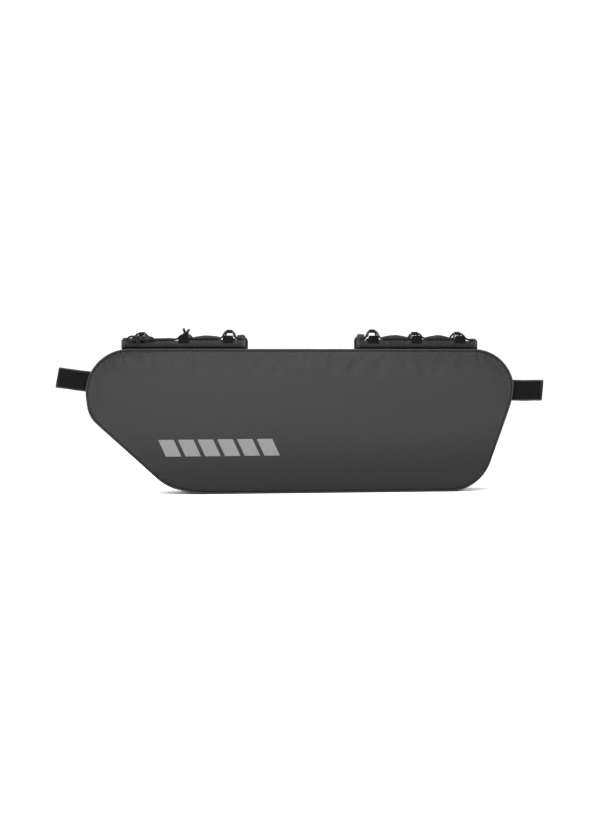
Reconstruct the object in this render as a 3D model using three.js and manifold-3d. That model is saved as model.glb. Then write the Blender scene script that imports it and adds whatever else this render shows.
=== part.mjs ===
// Bicycle frame bag that hangs under the top tube: a hollow body of coated fabric with a long zip,
// two laced sleeves on top, a webbing loop at each end and a row of reflective bars on its face.
// Millimetres, +Z up, X along the bag from the head tube end to the seat tube end, -Y towards the
// viewer of the plain face. The bag stands on its flat underside.

import * as THREE from 'three';
import { mergeVertices } from 'three/addons/utils/BufferGeometryUtils.js';
import Module from 'manifold-3d';

const wasm = await Module();
wasm.setup();

// Sizes shared by every piece
const CLEARANCE = 0.3;
const CLOTH = 1.5;

// Body
const BODY_LENGTH = 514;
const BODY_HEIGHT = 175.5;
const BODY_DEPTH = 56;
const PANEL_CROWN = 6;
const CROWN_WIDTH = 27;
const PIPING_DIAMETER = 3.4;
const PIPING_PROUD = 1;
const PIPING_SIDES = 8;
const ARC_STEP_DEGREES = 9;

// Zip in the back panel
const ZIP_END_MARGIN = 62;
const ZIP_TAPE_WIDTH = 12;
const ZIP_TAPE_THICKNESS = 1.1;
const ZIP_COIL_WIDTH = 5.6;
const ZIP_COIL_HEIGHT = 1.4;
const SLIDER_LENGTH = 12;
const SLIDER_WIDTH = 9;
const SLIDER_HEIGHT = 3.6;
const SLIDER_FROM_END = 16;
const PULL_LENGTH = 26;
const PULL_WIDTH = 5.4;
const PULL_THICKNESS = 1.8;
const PULL_LIFT = 0.6;
const PULL_HOLE_DIAMETER = 2.6;
const PULL_CORNER = 1.8;
const SLIDER_CORNER = 1.5;

// Reflective bars on the front panel
const BAR_COUNT = 6;
const BAR_WIDTH = 18.5;
const BAR_GAP = 5;
const BAR_HEIGHT = 20;
const BAR_SLANT = 9;
const BAR_THICKNESS = 0.4;

// Webbing loops round the head tube and the seat tube
const STRAP_WIDTH = 25;
const STRAP_THICKNESS = 2;
const STRAP_REACH = 35.5;
const STRAP_SIDE_MARGIN = 8;
const STRAP_OUTER_BEND = 7;
const STRAP_INNER_BEND = 3;
const STRAP_OVERLAP = 14;
const STRAP_END_GAP = 6;

// Laced sleeves on top
const SLEEVE_LENGTH = 150;
const SLEEVE_SIDE_MARGIN = 6;
const FLAP_FOOT = 9;
const FLAP_BEND = 3.2;
const FLAP_STEPS = 10;
const HEM_WALL = 1.2;
const HEM_SIDES = 8;
const HEM_HEIGHT = 11.4;
const HEM_LEAN = 0.6;
const HEM_BILLOW = 2.2;
const HEM_INNER_RISE = 2.6;
const FLAP_CORNER = 4.5;
const NOTCH_WIDTH = 22;
const TAB_WIDTH = 14.4;
const TAB_ABOVE_LACE = 1.2;
const TAB_THICKNESS = 1.2;
const TAB_CORNER = 2.4;

// Elastic lace
const LACE_DIAMETER = 2.2;
const LACE_SIDES = 8;
const LACE_BEND = 4.5;
const LACE_CREST = 9;
const LACE_LOW_CREST = 6.4;
const LACE_END_INSET = 3;
const CROSSING_SHARPNESS = 1.5;
const KNOT_DIAMETER = 3.6;
const TAIL_LENGTH = 5;
const TAIL_LEAN_DEGREES = 24;
const BOW_WIDTH = 9.5;
const BOW_HEIGHT = 9;
const BOW_DEPTH = 5;
const BOW_RAISE = 1;
const BOW_STEPS = 10;
const KNOT_SIDES = 10;
const KNOT_ROWS = 6;

// Corners of the side outline, anticlockwise from the low end of the down tube edge. Along is
// measured from the middle as a share of BODY_LENGTH, up and round are shares of BODY_HEIGHT.
const OUTLINE_CORNERS = [
  { name: 'down_tube_low', along: -0.315, up: 0.052, round: 0.345 },
  { name: 'bottom_front', along: -0.241, up: 0, round: 1.09 },
  { name: 'bottom_rear', along: 0.419, up: 0, round: 0.306 },
  { name: 'seat_tube_middle', along: 0.5, up: 0.656, round: 0.54 },
  { name: 'top_rear', along: 0.499, up: 0.97, round: 0.276 },
  { name: 'top_front', along: -0.514, up: 1.005, round: 0.3 },
  { name: 'down_tube_high', along: -0.4946, up: 0.538, round: 0.203 },
];
const TOP_REAR = OUTLINE_CORNERS.find((corner) => corner.name === 'top_rear');
const TOP_FRONT = OUTLINE_CORNERS.find((corner) => corner.name === 'top_front');

// Shoulder of each panel. Inward is a share of CROWN_WIDTH, rise a share of PANEL_CROWN.
const CROWN_ROWS = [
  { name: 'edge', inward: 0, rise: 0 },
  { name: 'roll', inward: 0.09, rise: 0.34 },
  { name: 'shoulder', inward: 0.27, rise: 0.68 },
  { name: 'slope', inward: 0.58, rise: 0.92 },
  { name: 'flat', inward: 1, rise: 1 },
];

// Where each webbing loop leaves the gusset. Up is a share of BODY_HEIGHT, climb is the angle that
// the loop points above the level, in degrees.
const STRAPS = [
  { name: 'head_tube_strap', side: -1, up: 0.78, climb: 8.4 },
  { name: 'seat_tube_strap', side: 1, up: 0.69, climb: -0.8 },
];

// Middles of the laced sleeves and of the row of bars. Along is a share of BODY_LENGTH from the
// middle, up a share of BODY_HEIGHT.
const LEFT_SLEEVE = { along: -0.2714 };
const RIGHT_SLEEVE = { along: 0.2792 };
const BARS_MIDDLE = { along: -0.189, up: 0.319 };

// Loops of the bow, each a flattened ring that is open at the knot. Length, height and start are
// shares of BOW_WIDTH, raise is a share of BOW_HEIGHT, and the ring is drawn from one angle on
// through a sweep, both in degrees.
const BOW_LOOPS = [
  { towards: -1, length: 1.05, height: 0.5, start: 0.25, raise: 0.125, from: 205, sweep: 310 },
  { towards: 1, length: 1.55, height: 0.32, start: 0.25, raise: 0.125, from: 205, sweep: 310 },
];

// Sizes that follow from the ones above
const PANEL_EDGE_INSET = PIPING_DIAMETER + CLEARANCE;
const PANEL_EDGE_DEPTH = BODY_DEPTH / 2 - PIPING_DIAMETER / 4;
const PANEL_FACE_DEPTH = PANEL_EDGE_DEPTH + PANEL_CROWN;
const ZIP_LENGTH = BODY_LENGTH - 2 * ZIP_END_MARGIN;
const ZIP_DROP = PANEL_EDGE_INSET + CROWN_WIDTH + ZIP_TAPE_WIDTH / 2 + CLEARANCE;
const BAR_PITCH = BAR_WIDTH + BAR_GAP;
const STRAP_LOOP_DEPTH = BODY_DEPTH - 2 * STRAP_SIDE_MARGIN;
const SLEEVE_SPREAD = BODY_DEPTH - 2 * SLEEVE_SIDE_MARGIN;
const HEM_RADIUS = LACE_DIAMETER / 2 + CLEARANCE + HEM_WALL;
const HEM_BOTTOM = HEM_HEIGHT - HEM_RADIUS;
const HEM_TOP = HEM_HEIGHT + HEM_RADIUS;
const HEM_DEPTH = SLEEVE_SPREAD / 2 - HEM_LEAN;
const TAB_LOW = CLOTH / 2 + FLAP_BEND + CLEARANCE;
const TAB_HIGH = HEM_HEIGHT + TAB_ABOVE_LACE;

// Lace points of a sleeve, as shares of SLEEVE_LENGTH from its middle
const LACE_POINTS = [-0.357, 0, 0.357].map((share) => share * SLEEVE_LENGTH);
const LACE_PITCH = LACE_POINTS[1] - LACE_POINTS[0];

// Finishes
const COATED_FABRIC = { color: 0x4a4b4d, roughness: 0.5, metalness: 0 };
const GUSSET_FABRIC = { color: 0x3c3d3f, roughness: 0.58, metalness: 0 };
const PIPING_FABRIC = { color: 0x2c2d2e, roughness: 0.6, metalness: 0 };
const FLAP_FABRIC = { color: 0x3a3b3d, roughness: 0.62, metalness: 0 };
const WEBBING = { color: 0x1a1a1b, roughness: 0.9, metalness: 0 };
const GROSGRAIN = { color: 0x151516, roughness: 0.85, metalness: 0 };
const ELASTIC_CORD = { color: 0x1c1c1d, roughness: 0.75, metalness: 0 };
const REFLECTIVE_FILM = { color: 0x8e8f91, roughness: 0.35, metalness: 0.2 };
const ZIP_TAPE = { color: 0x1e1e20, roughness: 0.6, metalness: 0 };
const DARK_METAL = { color: 0x2b2c2e, roughness: 0.35, metalness: 0.8 };

// A named mesh with its own material
function piece(name, geometry, finish) {
  const mesh = new THREE.Mesh(geometry, new THREE.MeshStandardMaterial(finish));
  mesh.name = name;
  return mesh;
}

// The geometry with only its positions left and its shared vertices merged
function bare(geometry) {
  const plain = new THREE.BufferGeometry();
  plain.setAttribute('position', geometry.getAttribute('position'));
  if (geometry.index) {
    plain.setIndex(geometry.index);
  }
  return mergeVertices(plain, 1e-4);
}

function toSolid(geometry) {
  const merged = bare(geometry);
  const vertProperties = Float32Array.from(merged.getAttribute('position').array);
  const triVerts = Uint32Array.from(merged.index.array);
  return new wasm.Manifold(new wasm.Mesh({ numProp: 3, vertProperties, triVerts }));
}

function toGeometry(solid) {
  const mesh = solid.getMesh();
  const geometry = new THREE.BufferGeometry();
  geometry.setAttribute('position', new THREE.BufferAttribute(mesh.vertProperties, 3));
  geometry.setIndex(new THREE.BufferAttribute(mesh.triVerts, 1));
  geometry.computeVertexNormals();
  return geometry;
}

// Six times the volume that the triangles enclose, negative where they face inwards
function signedVolume(points, index) {
  let total = 0;
  for (let k = 0; k < index.length; k += 3) {
    const [a, b, c] = [points[index[k]], points[index[k + 1]], points[index[k + 2]]];
    total += a.dot(new THREE.Vector3().crossVectors(b, c));
  }
  return total;
}

function ringCentre(ring) {
  return new THREE.Box3().setFromPoints(ring).getCenter(new THREE.Vector3());
}

// A closed solid through rings of equally many points. The ends are capped, or joined to each other.
function solidFromRings(rings, joinEnds) {
  const perRing = rings[0].length;
  const points = rings.flat();
  const index = [];
  const bands = joinEnds ? rings.length : rings.length - 1;
  for (let band = 0; band < bands; band++) {
    const here = band * perRing;
    const there = ((band + 1) % rings.length) * perRing;
    for (let k = 0; k < perRing; k++) {
      const next = (k + 1) % perRing;
      index.push(here + k, here + next, there + next);
      index.push(here + k, there + next, there + k);
    }
  }
  if (!joinEnds) {
    const first = points.push(ringCentre(rings[0])) - 1;
    const last = points.push(ringCentre(rings.at(-1))) - 1;
    const lastRing = bands * perRing;
    for (let k = 0; k < perRing; k++) {
      const next = (k + 1) % perRing;
      index.push(first, next, k);
      index.push(last, lastRing + k, lastRing + next);
    }
  }
  if (signedVolume(points, index) < 0) {
    index.reverse();
  }
  const geometry = new THREE.BufferGeometry().setFromPoints(points);
  geometry.setIndex(index);
  geometry.computeVertexNormals();
  return geometry;
}

// Side outline as stations round the body: each keeps the middle and the radius of its arc and the
// way that it faces, so an inset outline is the same arcs with smaller radii.
function outlineStations() {
  const corners = OUTLINE_CORNERS.map((row) => ({
    at: new THREE.Vector2(row.along * BODY_LENGTH, row.up * BODY_HEIGHT),
    radius: row.round * BODY_HEIGHT,
  }));
  return corners.flatMap((corner, k) => {
    const before = corners.at(k - 1).at;
    const after = corners[(k + 1) % corners.length].at;
    const arriving = corner.at.clone().sub(before).normalize();
    const leaving = after.clone().sub(corner.at).normalize();
    const turn = Math.acos(arriving.dot(leaving));
    const outward = new THREE.Vector2(arriving.y, -arriving.x);
    const arcStart = corner.at.clone().addScaledVector(arriving, -corner.radius * Math.tan(turn / 2));
    const middle = arcStart.addScaledVector(outward, -corner.radius);
    const steps = Math.max(2, Math.round(THREE.MathUtils.radToDeg(turn) / ARC_STEP_DEGREES));
    return Array.from({ length: steps + 1 }, (_, step) => ({
      middle,
      radius: corner.radius,
      facing: outward.clone().rotateAround(new THREE.Vector2(), (turn * step) / steps),
    }));
  });
}

const STATIONS = outlineStations();

// One point of the outline, moved inwards by the inset
function outlinePoint(station, inset) {
  return station.middle.clone().addScaledVector(station.facing, station.radius - inset);
}

// The outline as a ring in space
function outlineRing({ inset, depth }) {
  return STATIONS.map((station) => {
    const point = outlinePoint(station, inset);
    return new THREE.Vector3(point.x, depth, point.y);
  });
}

// Place and facing of the outline at one height on one side of the bag
function outlineAtHeight(side, height, inset) {
  for (let k = 0; k < STATIONS.length; k++) {
    const from = STATIONS[k];
    const to = STATIONS[(k + 1) % STATIONS.length];
    const [a, b] = [outlinePoint(from, inset), outlinePoint(to, inset)];
    const crosses = (a.y - height) * (b.y - height) <= 0 && a.y !== b.y;
    if (crosses && Math.sign(a.x) === side) {
      const share = (height - a.y) / (b.y - a.y);
      const edge = b.clone().sub(a).normalize();
      return { at: a.clone().lerp(b, share), facing: new THREE.Vector2(edge.y, -edge.x) };
    }
  }
  throw new Error('no outline at this height');
}

// Height of the straight top edge above the floor
function topEdgeHeight(along) {
  const share = (along / BODY_LENGTH - TOP_FRONT.along) / (TOP_REAR.along - TOP_FRONT.along);
  return BODY_HEIGHT * THREE.MathUtils.lerp(TOP_FRONT.up, TOP_REAR.up, share);
}

// How much the top edge falls from the head tube end to the seat tube end
const TOP_SLOPE = Math.atan2(
  BODY_HEIGHT * (TOP_FRONT.up - TOP_REAR.up),
  BODY_LENGTH * (TOP_REAR.along - TOP_FRONT.along),
);

// A frame that sits on a line parallel to the top edge, at a drop below it
function topEdgeGroup(along, drop) {
  const group = new THREE.Group();
  group.position.set(along, 0, topEdgeHeight(along) - drop);
  group.rotation.y = TOP_SLOPE;
  group.updateMatrix();
  return group;
}

// A line of points moved to its own left
function shifted(line, distance) {
  return line.map((point, k) => {
    const before = line[Math.max(k - 1, 0)];
    const after = line[Math.min(k + 1, line.length - 1)];
    const run = after.clone().sub(before).normalize();
    return point.clone().add(new THREE.Vector2(-run.y, run.x).multiplyScalar(distance));
  });
}

// Closed outline of a strip whose middle follows a line
function stripAround(line, thickness) {
  return [...shifted(line, -thickness / 2), ...shifted(line, thickness / 2).reverse()];
}

// Points of an arc, ends included
function arcPoints(middle, radius, fromDegrees, toDegrees, steps) {
  return Array.from({ length: steps + 1 }, (_, step) => {
    const angle = THREE.MathUtils.degToRad(
      THREE.MathUtils.lerp(fromDegrees, toDegrees, step / steps),
    );
    return new THREE.Vector2(
      middle.x + radius * Math.cos(angle),
      middle.y + radius * Math.sin(angle),
    );
  });
}

// A shallow dish of fabric, open towards the inside of the bag
function panelGeometry(side) {
  const crown = CROWN_ROWS.map(
    (row) =>
      new THREE.Vector2(
        PANEL_EDGE_INSET + row.inward * CROWN_WIDTH,
        PANEL_EDGE_DEPTH + row.rise * PANEL_CROWN,
      ),
  );
  return solidFromRings(
    [...shifted(crown, -CLOTH).reverse(), ...crown].map((point) =>
      outlineRing({ inset: point.x, depth: side * point.y }),
    ),
    false,
  );
}

function backPanel(zipPlace) {
  const slotWidth = ZIP_TAPE_WIDTH + 2 * CLEARANCE;
  const slot = new THREE.BoxGeometry(ZIP_LENGTH + 2 * CLEARANCE, 4 * CLOTH, slotWidth);
  slot.translate(0, PANEL_FACE_DEPTH, 0);
  slot.applyMatrix4(zipPlace);
  const cut = toSolid(panelGeometry(1)).subtract(toSolid(slot));
  return piece('back_panel', toGeometry(cut), COATED_FABRIC);
}

// Gusset: the band round the body between the two lines of piping
function gusset() {
  const outer = PIPING_PROUD;
  const inner = PIPING_PROUD + CLOTH;
  const edge = BODY_DEPTH / 2 - PIPING_DIAMETER - CLEARANCE;
  const section = [
    { inset: outer, depth: -edge },
    { inset: outer, depth: edge },
    { inset: inner, depth: edge },
    { inset: inner, depth: -edge },
  ];
  return piece('gusset', solidFromRings(section.map(outlineRing), true), GUSSET_FABRIC);
}

// Piping: a round welt over the seam, with one flat of its section facing outwards
function piping(name, side) {
  const flatRadius = PIPING_DIAMETER / 2;
  const cornerRadius = flatRadius / Math.cos(Math.PI / PIPING_SIDES);
  const rings = Array.from({ length: PIPING_SIDES }, (_, k) => {
    const angle = ((k + 0.5) * 2 * Math.PI) / PIPING_SIDES;
    return outlineRing({
      inset: flatRadius + cornerRadius * Math.cos(angle),
      depth: side * (BODY_DEPTH / 2 - flatRadius) + cornerRadius * Math.sin(angle),
    });
  });
  return piece(name, solidFromRings(rings, true), PIPING_FABRIC);
}

// Zip: tape with a raised coil, in a slot of the back panel
function zipGeometry() {
  const tape = ZIP_TAPE_WIDTH / 2;
  const coil = ZIP_COIL_WIDTH / 2;
  const section = new THREE.Shape([
    new THREE.Vector2(0, -tape),
    new THREE.Vector2(ZIP_TAPE_THICKNESS, -tape),
    new THREE.Vector2(ZIP_TAPE_THICKNESS, -coil),
    new THREE.Vector2(ZIP_COIL_HEIGHT + ZIP_TAPE_THICKNESS, -coil / 2),
    new THREE.Vector2(ZIP_COIL_HEIGHT + ZIP_TAPE_THICKNESS, coil / 2),
    new THREE.Vector2(ZIP_TAPE_THICKNESS, coil),
    new THREE.Vector2(ZIP_TAPE_THICKNESS, tape),
    new THREE.Vector2(0, tape),
  ]);
  return extrudeAlongX(section, ZIP_LENGTH, 1);
}

// Extrudes a section drawn in depth and height along X, centred on the origin
function extrudeAlongX(section, length, steps) {
  const geometry = new THREE.ExtrudeGeometry(section, {
    depth: length,
    steps,
    bevelEnabled: false,
    curveSegments: 6,
  });
  geometry.translate(0, 0, -length / 2);
  geometry.applyMatrix4(
    new THREE.Matrix4().makeBasis(
      new THREE.Vector3(0, 1, 0),
      new THREE.Vector3(0, 0, 1),
      new THREE.Vector3(1, 0, 0),
    ),
  );
  return geometry;
}

// Extrudes a shape drawn along X and up Z through a thickness in depth, from the near face back
function extrudeBack(shape, nearDepth, thickness) {
  const geometry = new THREE.ExtrudeGeometry(shape, {
    depth: thickness,
    bevelEnabled: false,
    curveSegments: 4,
  });
  geometry.rotateX(Math.PI / 2);
  geometry.translate(0, nearDepth + thickness, 0);
  return geometry;
}

function roundedBox(width, height, corner) {
  const shape = new THREE.Shape();
  const [x, y] = [width / 2, height / 2];
  shape.absarc(x - corner, y - corner, corner, 0, Math.PI / 2);
  shape.absarc(corner - x, y - corner, corner, Math.PI / 2, Math.PI);
  shape.absarc(corner - x, corner - y, corner, Math.PI, 1.5 * Math.PI);
  shape.absarc(x - corner, corner - y, corner, 1.5 * Math.PI, 2 * Math.PI);
  shape.closePath();
  return shape;
}

// Slider and its pull, one plain piece that lies on the coil
function zipSlider(coilTop) {
  const body = extrudeBack(
    roundedBox(SLIDER_LENGTH, SLIDER_WIDTH, SLIDER_CORNER),
    coilTop + CLEARANCE,
    SLIDER_HEIGHT,
  );
  const pullShape = roundedBox(PULL_LENGTH, PULL_WIDTH, PULL_CORNER);
  const hole = new THREE.Path();
  hole.absarc(PULL_LENGTH / 2 - PULL_WIDTH / 2, 0, PULL_HOLE_DIAMETER / 2, 0, 2 * Math.PI, true);
  pullShape.holes.push(hole);
  const pull = extrudeBack(pullShape, coilTop + CLEARANCE + PULL_LIFT, PULL_THICKNESS);
  pull.translate(PULL_LENGTH / 2 - SLIDER_LENGTH / 3, 0, 0);
  return piece('zip_slider', toGeometry(toSolid(body).add(toSolid(pull))), DARK_METAL);
}

function zipGroup() {
  const group = topEdgeGroup(0, ZIP_DROP);
  const zip = piece('zip', zipGeometry(), ZIP_TAPE);
  zip.position.y = PANEL_FACE_DEPTH - CLOTH;
  const slider = zipSlider(zip.position.y + ZIP_TAPE_THICKNESS + ZIP_COIL_HEIGHT);
  slider.position.x = SLIDER_FROM_END - ZIP_LENGTH / 2;
  group.add(zip, slider);
  return group;
}

// Reflective bars: leaning parallelograms in one row
function reflectiveBars() {
  const group = new THREE.Group();
  const nearDepth = -(PANEL_FACE_DEPTH + CLEARANCE + BAR_THICKNESS);
  group.position.set(BARS_MIDDLE.along * BODY_LENGTH, nearDepth, BARS_MIDDLE.up * BODY_HEIGHT);
  const [x, z, lean] = [BAR_WIDTH / 2, BAR_HEIGHT / 2, BAR_SLANT / 2];
  const shape = new THREE.Shape([
    new THREE.Vector2(-x - lean, -z),
    new THREE.Vector2(x - lean, -z),
    new THREE.Vector2(x + lean, z),
    new THREE.Vector2(-x + lean, z),
  ]);
  for (let k = 0; k < BAR_COUNT; k++) {
    const bar = piece(`reflective_bar_${k + 1}`, extrudeBack(shape, 0, BAR_THICKNESS), REFLECTIVE_FILM);
    bar.position.x = (k - (BAR_COUNT - 1) / 2) * BAR_PITCH;
    group.add(bar);
  }
  return group;
}

// Plan of a webbing loop: out is away from the gusset, across is depth. The sewn run lies on the
// gusset, and the long end closes over the short one.
function strapPlan() {
  const near = CLEARANCE + STRAP_THICKNESS / 2;
  const far = STRAP_REACH - STRAP_THICKNESS / 2;
  const leg = (STRAP_LOOP_DEPTH - STRAP_THICKNESS) / 2;
  const shortLeg = leg - STRAP_THICKNESS - CLEARANCE;
  const inner = STRAP_INNER_BEND;
  const outer = STRAP_OUTER_BEND;
  const line = [
    new THREE.Vector2(STRAP_END_GAP + STRAP_OVERLAP, shortLeg),
    ...arcPoints(new THREE.Vector2(near + inner, shortLeg - inner), inner, 90, 180, 3),
    ...arcPoints(new THREE.Vector2(near + inner, inner - leg), inner, 180, 270, 3),
    ...arcPoints(new THREE.Vector2(far - outer, outer - leg), outer, 270, 360, 5),
    ...arcPoints(new THREE.Vector2(far - outer, leg - outer), outer, 0, 90, 5),
    new THREE.Vector2(STRAP_END_GAP, leg),
  ];
  return stripAround(line, STRAP_THICKNESS);
}

// A webbing loop: its plan swept up along the gusset, while its legs climb at an angle of their own
function strap({ name, side, up, climb }) {
  const { at, facing } = outlineAtHeight(side, up * BODY_HEIGHT, PIPING_PROUD);
  const angle = THREE.MathUtils.degToRad(climb);
  const out = new THREE.Vector3(side * Math.cos(angle), 0, Math.sin(angle));
  const alongGusset = new THREE.Vector3(-side * facing.y, 0, side * facing.x);
  const squareness = out.clone().cross(alongGusset).length();
  const height = STRAP_WIDTH / squareness;
  const across = new THREE.Vector3(0, 1, 0);
  const upright = new THREE.ExtrudeGeometry(new THREE.Shape(strapPlan()), {
    depth: height,
    bevelEnabled: false,
  });
  upright.translate(0, 0, -height / 2);
  upright.applyMatrix4(new THREE.Matrix4().makeBasis(out, across, alongGusset));
  const mesh = piece(name, side < 0 ? turnedOut(upright) : upright, WEBBING);
  mesh.position.set(at.x, 0, at.y);
  return mesh;
}

// A mirrored geometry with its triangles turned to face outwards again
function turnedOut(geometry) {
  const merged = bare(geometry);
  merged.setIndex(Array.from(merged.index.array).reverse());
  return merged;
}

// How far the top of the hem stands up at one place along the sleeve: it swells between the lace
// points and rises towards the middle of the bag.
function hemLift(along, innerEnd) {
  const nearest = Math.min(...LACE_POINTS.map((point) => Math.abs(along - point)));
  const span = (LACE_PITCH - NOTCH_WIDTH) / 2;
  const share = THREE.MathUtils.clamp((nearest - NOTCH_WIDTH / 2) / span, 0, 1);
  const inward = THREE.MathUtils.clamp((along * innerEnd) / SLEEVE_LENGTH + 0.5, 0, 1);
  return HEM_BILLOW * Math.sin((share * Math.PI) / 2) ** 2 + HEM_INNER_RISE * inward ** 2;
}

// Height of the middle of the hem above the top edge
function hemMiddle(along, innerEnd) {
  return HEM_HEIGHT + hemLift(along, innerEnd) / 2;
}

// Stretches what lies above the foot of the hem
function liftHem(geometry, innerEnd) {
  const position = geometry.getAttribute('position');
  for (let k = 0; k < position.count; k++) {
    const share = THREE.MathUtils.clamp((position.getZ(k) - HEM_BOTTOM) / (2 * HEM_RADIUS), 0, 1);
    position.setZ(k, position.getZ(k) + share * hemLift(position.getX(k), innerEnd));
  }
  return geometry;
}

function circleShape(across, up, radius, sides) {
  const points = Array.from({ length: sides }, (_, k) => {
    const angle = ((k + 0.5) * 2 * Math.PI) / sides;
    return new THREE.Vector2(across + radius * Math.cos(angle), up + radius * Math.sin(angle));
  });
  return new THREE.Shape(points);
}

// What is cut from the top corner at one end of a flap, so that the corner is left round
function cornerCut(end, innerEnd) {
  const tip = (end * SLEEVE_LENGTH) / 2;
  const top = HEM_TOP + hemLift(tip, innerEnd);
  const beyond = 2 * HEM_RADIUS;
  const arc = arcPoints(
    new THREE.Vector2(tip - end * FLAP_CORNER, top - FLAP_CORNER),
    FLAP_CORNER,
    end > 0 ? 0 : 180,
    90,
    4,
  );
  const shape = new THREE.Shape([
    ...arc,
    new THREE.Vector2(tip - end * FLAP_CORNER, top + beyond),
    new THREE.Vector2(tip + end * beyond, top + beyond),
    new THREE.Vector2(tip + end * beyond, top - FLAP_CORNER),
  ]);
  return extrudeBack(shape, -SLEEVE_SPREAD, 2 * SLEEVE_SPREAD);
}

// A flap of the sleeve: a foot on the gusset, an upright wall and a hem with a channel for the lace,
// notched at each lace point
function flapGeometry(side, innerEnd) {
  const wallAt = (side * SLEEVE_SPREAD) / 2;
  const hemAt = side * HEM_DEPTH;
  const middle = new THREE.Vector2(-FLAP_BEND, CLOTH / 2 + FLAP_BEND);
  const centreLine = [
    new THREE.Vector2(-FLAP_FOOT, CLOTH / 2),
    ...arcPoints(middle, FLAP_BEND, 270, 360, 4),
    new THREE.Vector2(0, HEM_BOTTOM + CLOTH / 2),
  ];
  const section = stripAround(centreLine, CLOTH).map(
    (point) => new THREE.Vector2(wallAt + side * point.x, point.y + CLEARANCE),
  );
  const boreRadius = (LACE_DIAMETER / 2 + CLEARANCE) / Math.cos(Math.PI / LACE_SIDES);
  const long = (shape, length) => liftHem(extrudeAlongX(shape, length, FLAP_STEPS), innerEnd);
  const wall = long(new THREE.Shape(section), SLEEVE_LENGTH);
  const hem = long(circleShape(hemAt, HEM_HEIGHT, HEM_RADIUS, HEM_SIDES), SLEEVE_LENGTH);
  const bore = long(circleShape(hemAt, HEM_HEIGHT, boreRadius, LACE_SIDES), SLEEVE_LENGTH + 1);
  let solid = toSolid(wall).add(toSolid(hem)).subtract(toSolid(bore));
  const clearOfHem = 4 * HEM_RADIUS;
  for (const along of LACE_POINTS) {
    const notch = new THREE.BoxGeometry(NOTCH_WIDTH, SLEEVE_SPREAD, clearOfHem);
    notch.translate(along, wallAt, HEM_BOTTOM - CLEARANCE / 2 + clearOfHem / 2);
    solid = solid.subtract(toSolid(notch));
  }
  for (const end of [-1, 1]) {
    solid = solid.subtract(toSolid(cornerCut(end, innerEnd)));
  }
  return toGeometry(solid);
}

// A flat tab sewn on the outer face of a flap, in front of a notch
function laceTab(name, side, along) {
  const height = TAB_HIGH - TAB_LOW;
  const shape = new THREE.Shape();
  const [x, r] = [TAB_WIDTH / 2, TAB_CORNER];
  shape.moveTo(-x, 0);
  shape.lineTo(x, 0);
  shape.absarc(x - r, height - r, r, 0, Math.PI / 2);
  shape.absarc(r - x, height - r, r, Math.PI / 2, Math.PI);
  const outerFace = SLEEVE_SPREAD / 2 + CLOTH / 2 + CLEARANCE;
  const nearDepth = side < 0 ? -(outerFace + TAB_THICKNESS) : outerFace;
  const tab = piece(name, extrudeBack(shape, nearDepth, TAB_THICKNESS), GROSGRAIN);
  tab.position.set(along, 0, TAB_LOW);
  return tab;
}

// A curve whose stations are exactly the points of a route
class Route extends THREE.Curve {
  constructor(points) {
    super();
    this.points = points;
  }

  getPoint(share, target = new THREE.Vector3()) {
    const place = share * (this.points.length - 1);
    const before = Math.min(Math.floor(place), this.points.length - 2);
    return target.lerpVectors(this.points[before], this.points[before + 1], place - before);
  }

  getPointAt(share, target) {
    return this.getPoint(share, target);
  }

  getTangentAt(share, target = new THREE.Vector3()) {
    const place = Math.round(share * (this.points.length - 1));
    const before = this.points[Math.max(place - 1, 0)];
    const after = this.points[Math.min(place + 1, this.points.length - 1)];
    return target.subVectors(after, before).normalize();
  }
}

function cordGeometry(points, diameter) {
  const radius = diameter / 2;
  return new THREE.ExtrudeGeometry(circleShape(0, 0, radius, LACE_SIDES), {
    steps: points.length - 1,
    extrudePath: new Route(points),
    bevelEnabled: false,
  });
}

// One crossing of the lace over a lace point: the cord bends out of the channel of one hem, runs
// straight across and bends into the other. The far bend is the near one turned about the point.
function laceCrossing(along, fromSide, crest, innerEnd) {
  const bendMiddle = new THREE.Vector2(-NOTCH_WIDTH / 2, LACE_BEND - HEM_DEPTH);
  const turn = Math.atan2(-bendMiddle.y, -bendMiddle.x) + Math.asin(LACE_BEND / bendMiddle.length());
  const bend = arcPoints(bendMiddle, LACE_BEND, -90, THREE.MathUtils.radToDeg(turn) - 90, 3);
  const farBend = bend.map((point) => point.clone().negate()).reverse();
  const straight = [0.25, 0.5, 0.75].map((share) => bend.at(-1).clone().lerp(farBend[0], share));
  return [...bend, ...straight, ...farBend].map((point) => {
    const x = along + point.x;
    const share = (point.y + HEM_DEPTH) / (2 * HEM_DEPTH);
    const rise = crest * Math.sin(Math.PI * share) ** CROSSING_SHARPNESS;
    return new THREE.Vector3(x, -fromSide * point.y, hemMiddle(x, innerEnd) + rise);
  });
}

// One of the two cords of a sleeve: through the channel of one hem, over to the other at each point
function lace(name, firstSide, crests, innerEnd) {
  const tip = SLEEVE_LENGTH / 2 - LACE_END_INSET;
  const inHem = (along, side) =>
    new THREE.Vector3(along, side * HEM_DEPTH, hemMiddle(along, innerEnd));
  const points = [inHem(-tip, firstSide)];
  let side = firstSide;
  LACE_POINTS.forEach((along, k) => {
    if (k > 0) {
      points.push(inHem(along - LACE_PITCH / 2, side));
    }
    points.push(...laceCrossing(along, side, crests[k], innerEnd));
    side = -side;
  });
  points.push(inHem(tip, side));
  return piece(name, cordGeometry(points, LACE_DIAMETER), ELASTIC_CORD);
}

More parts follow.
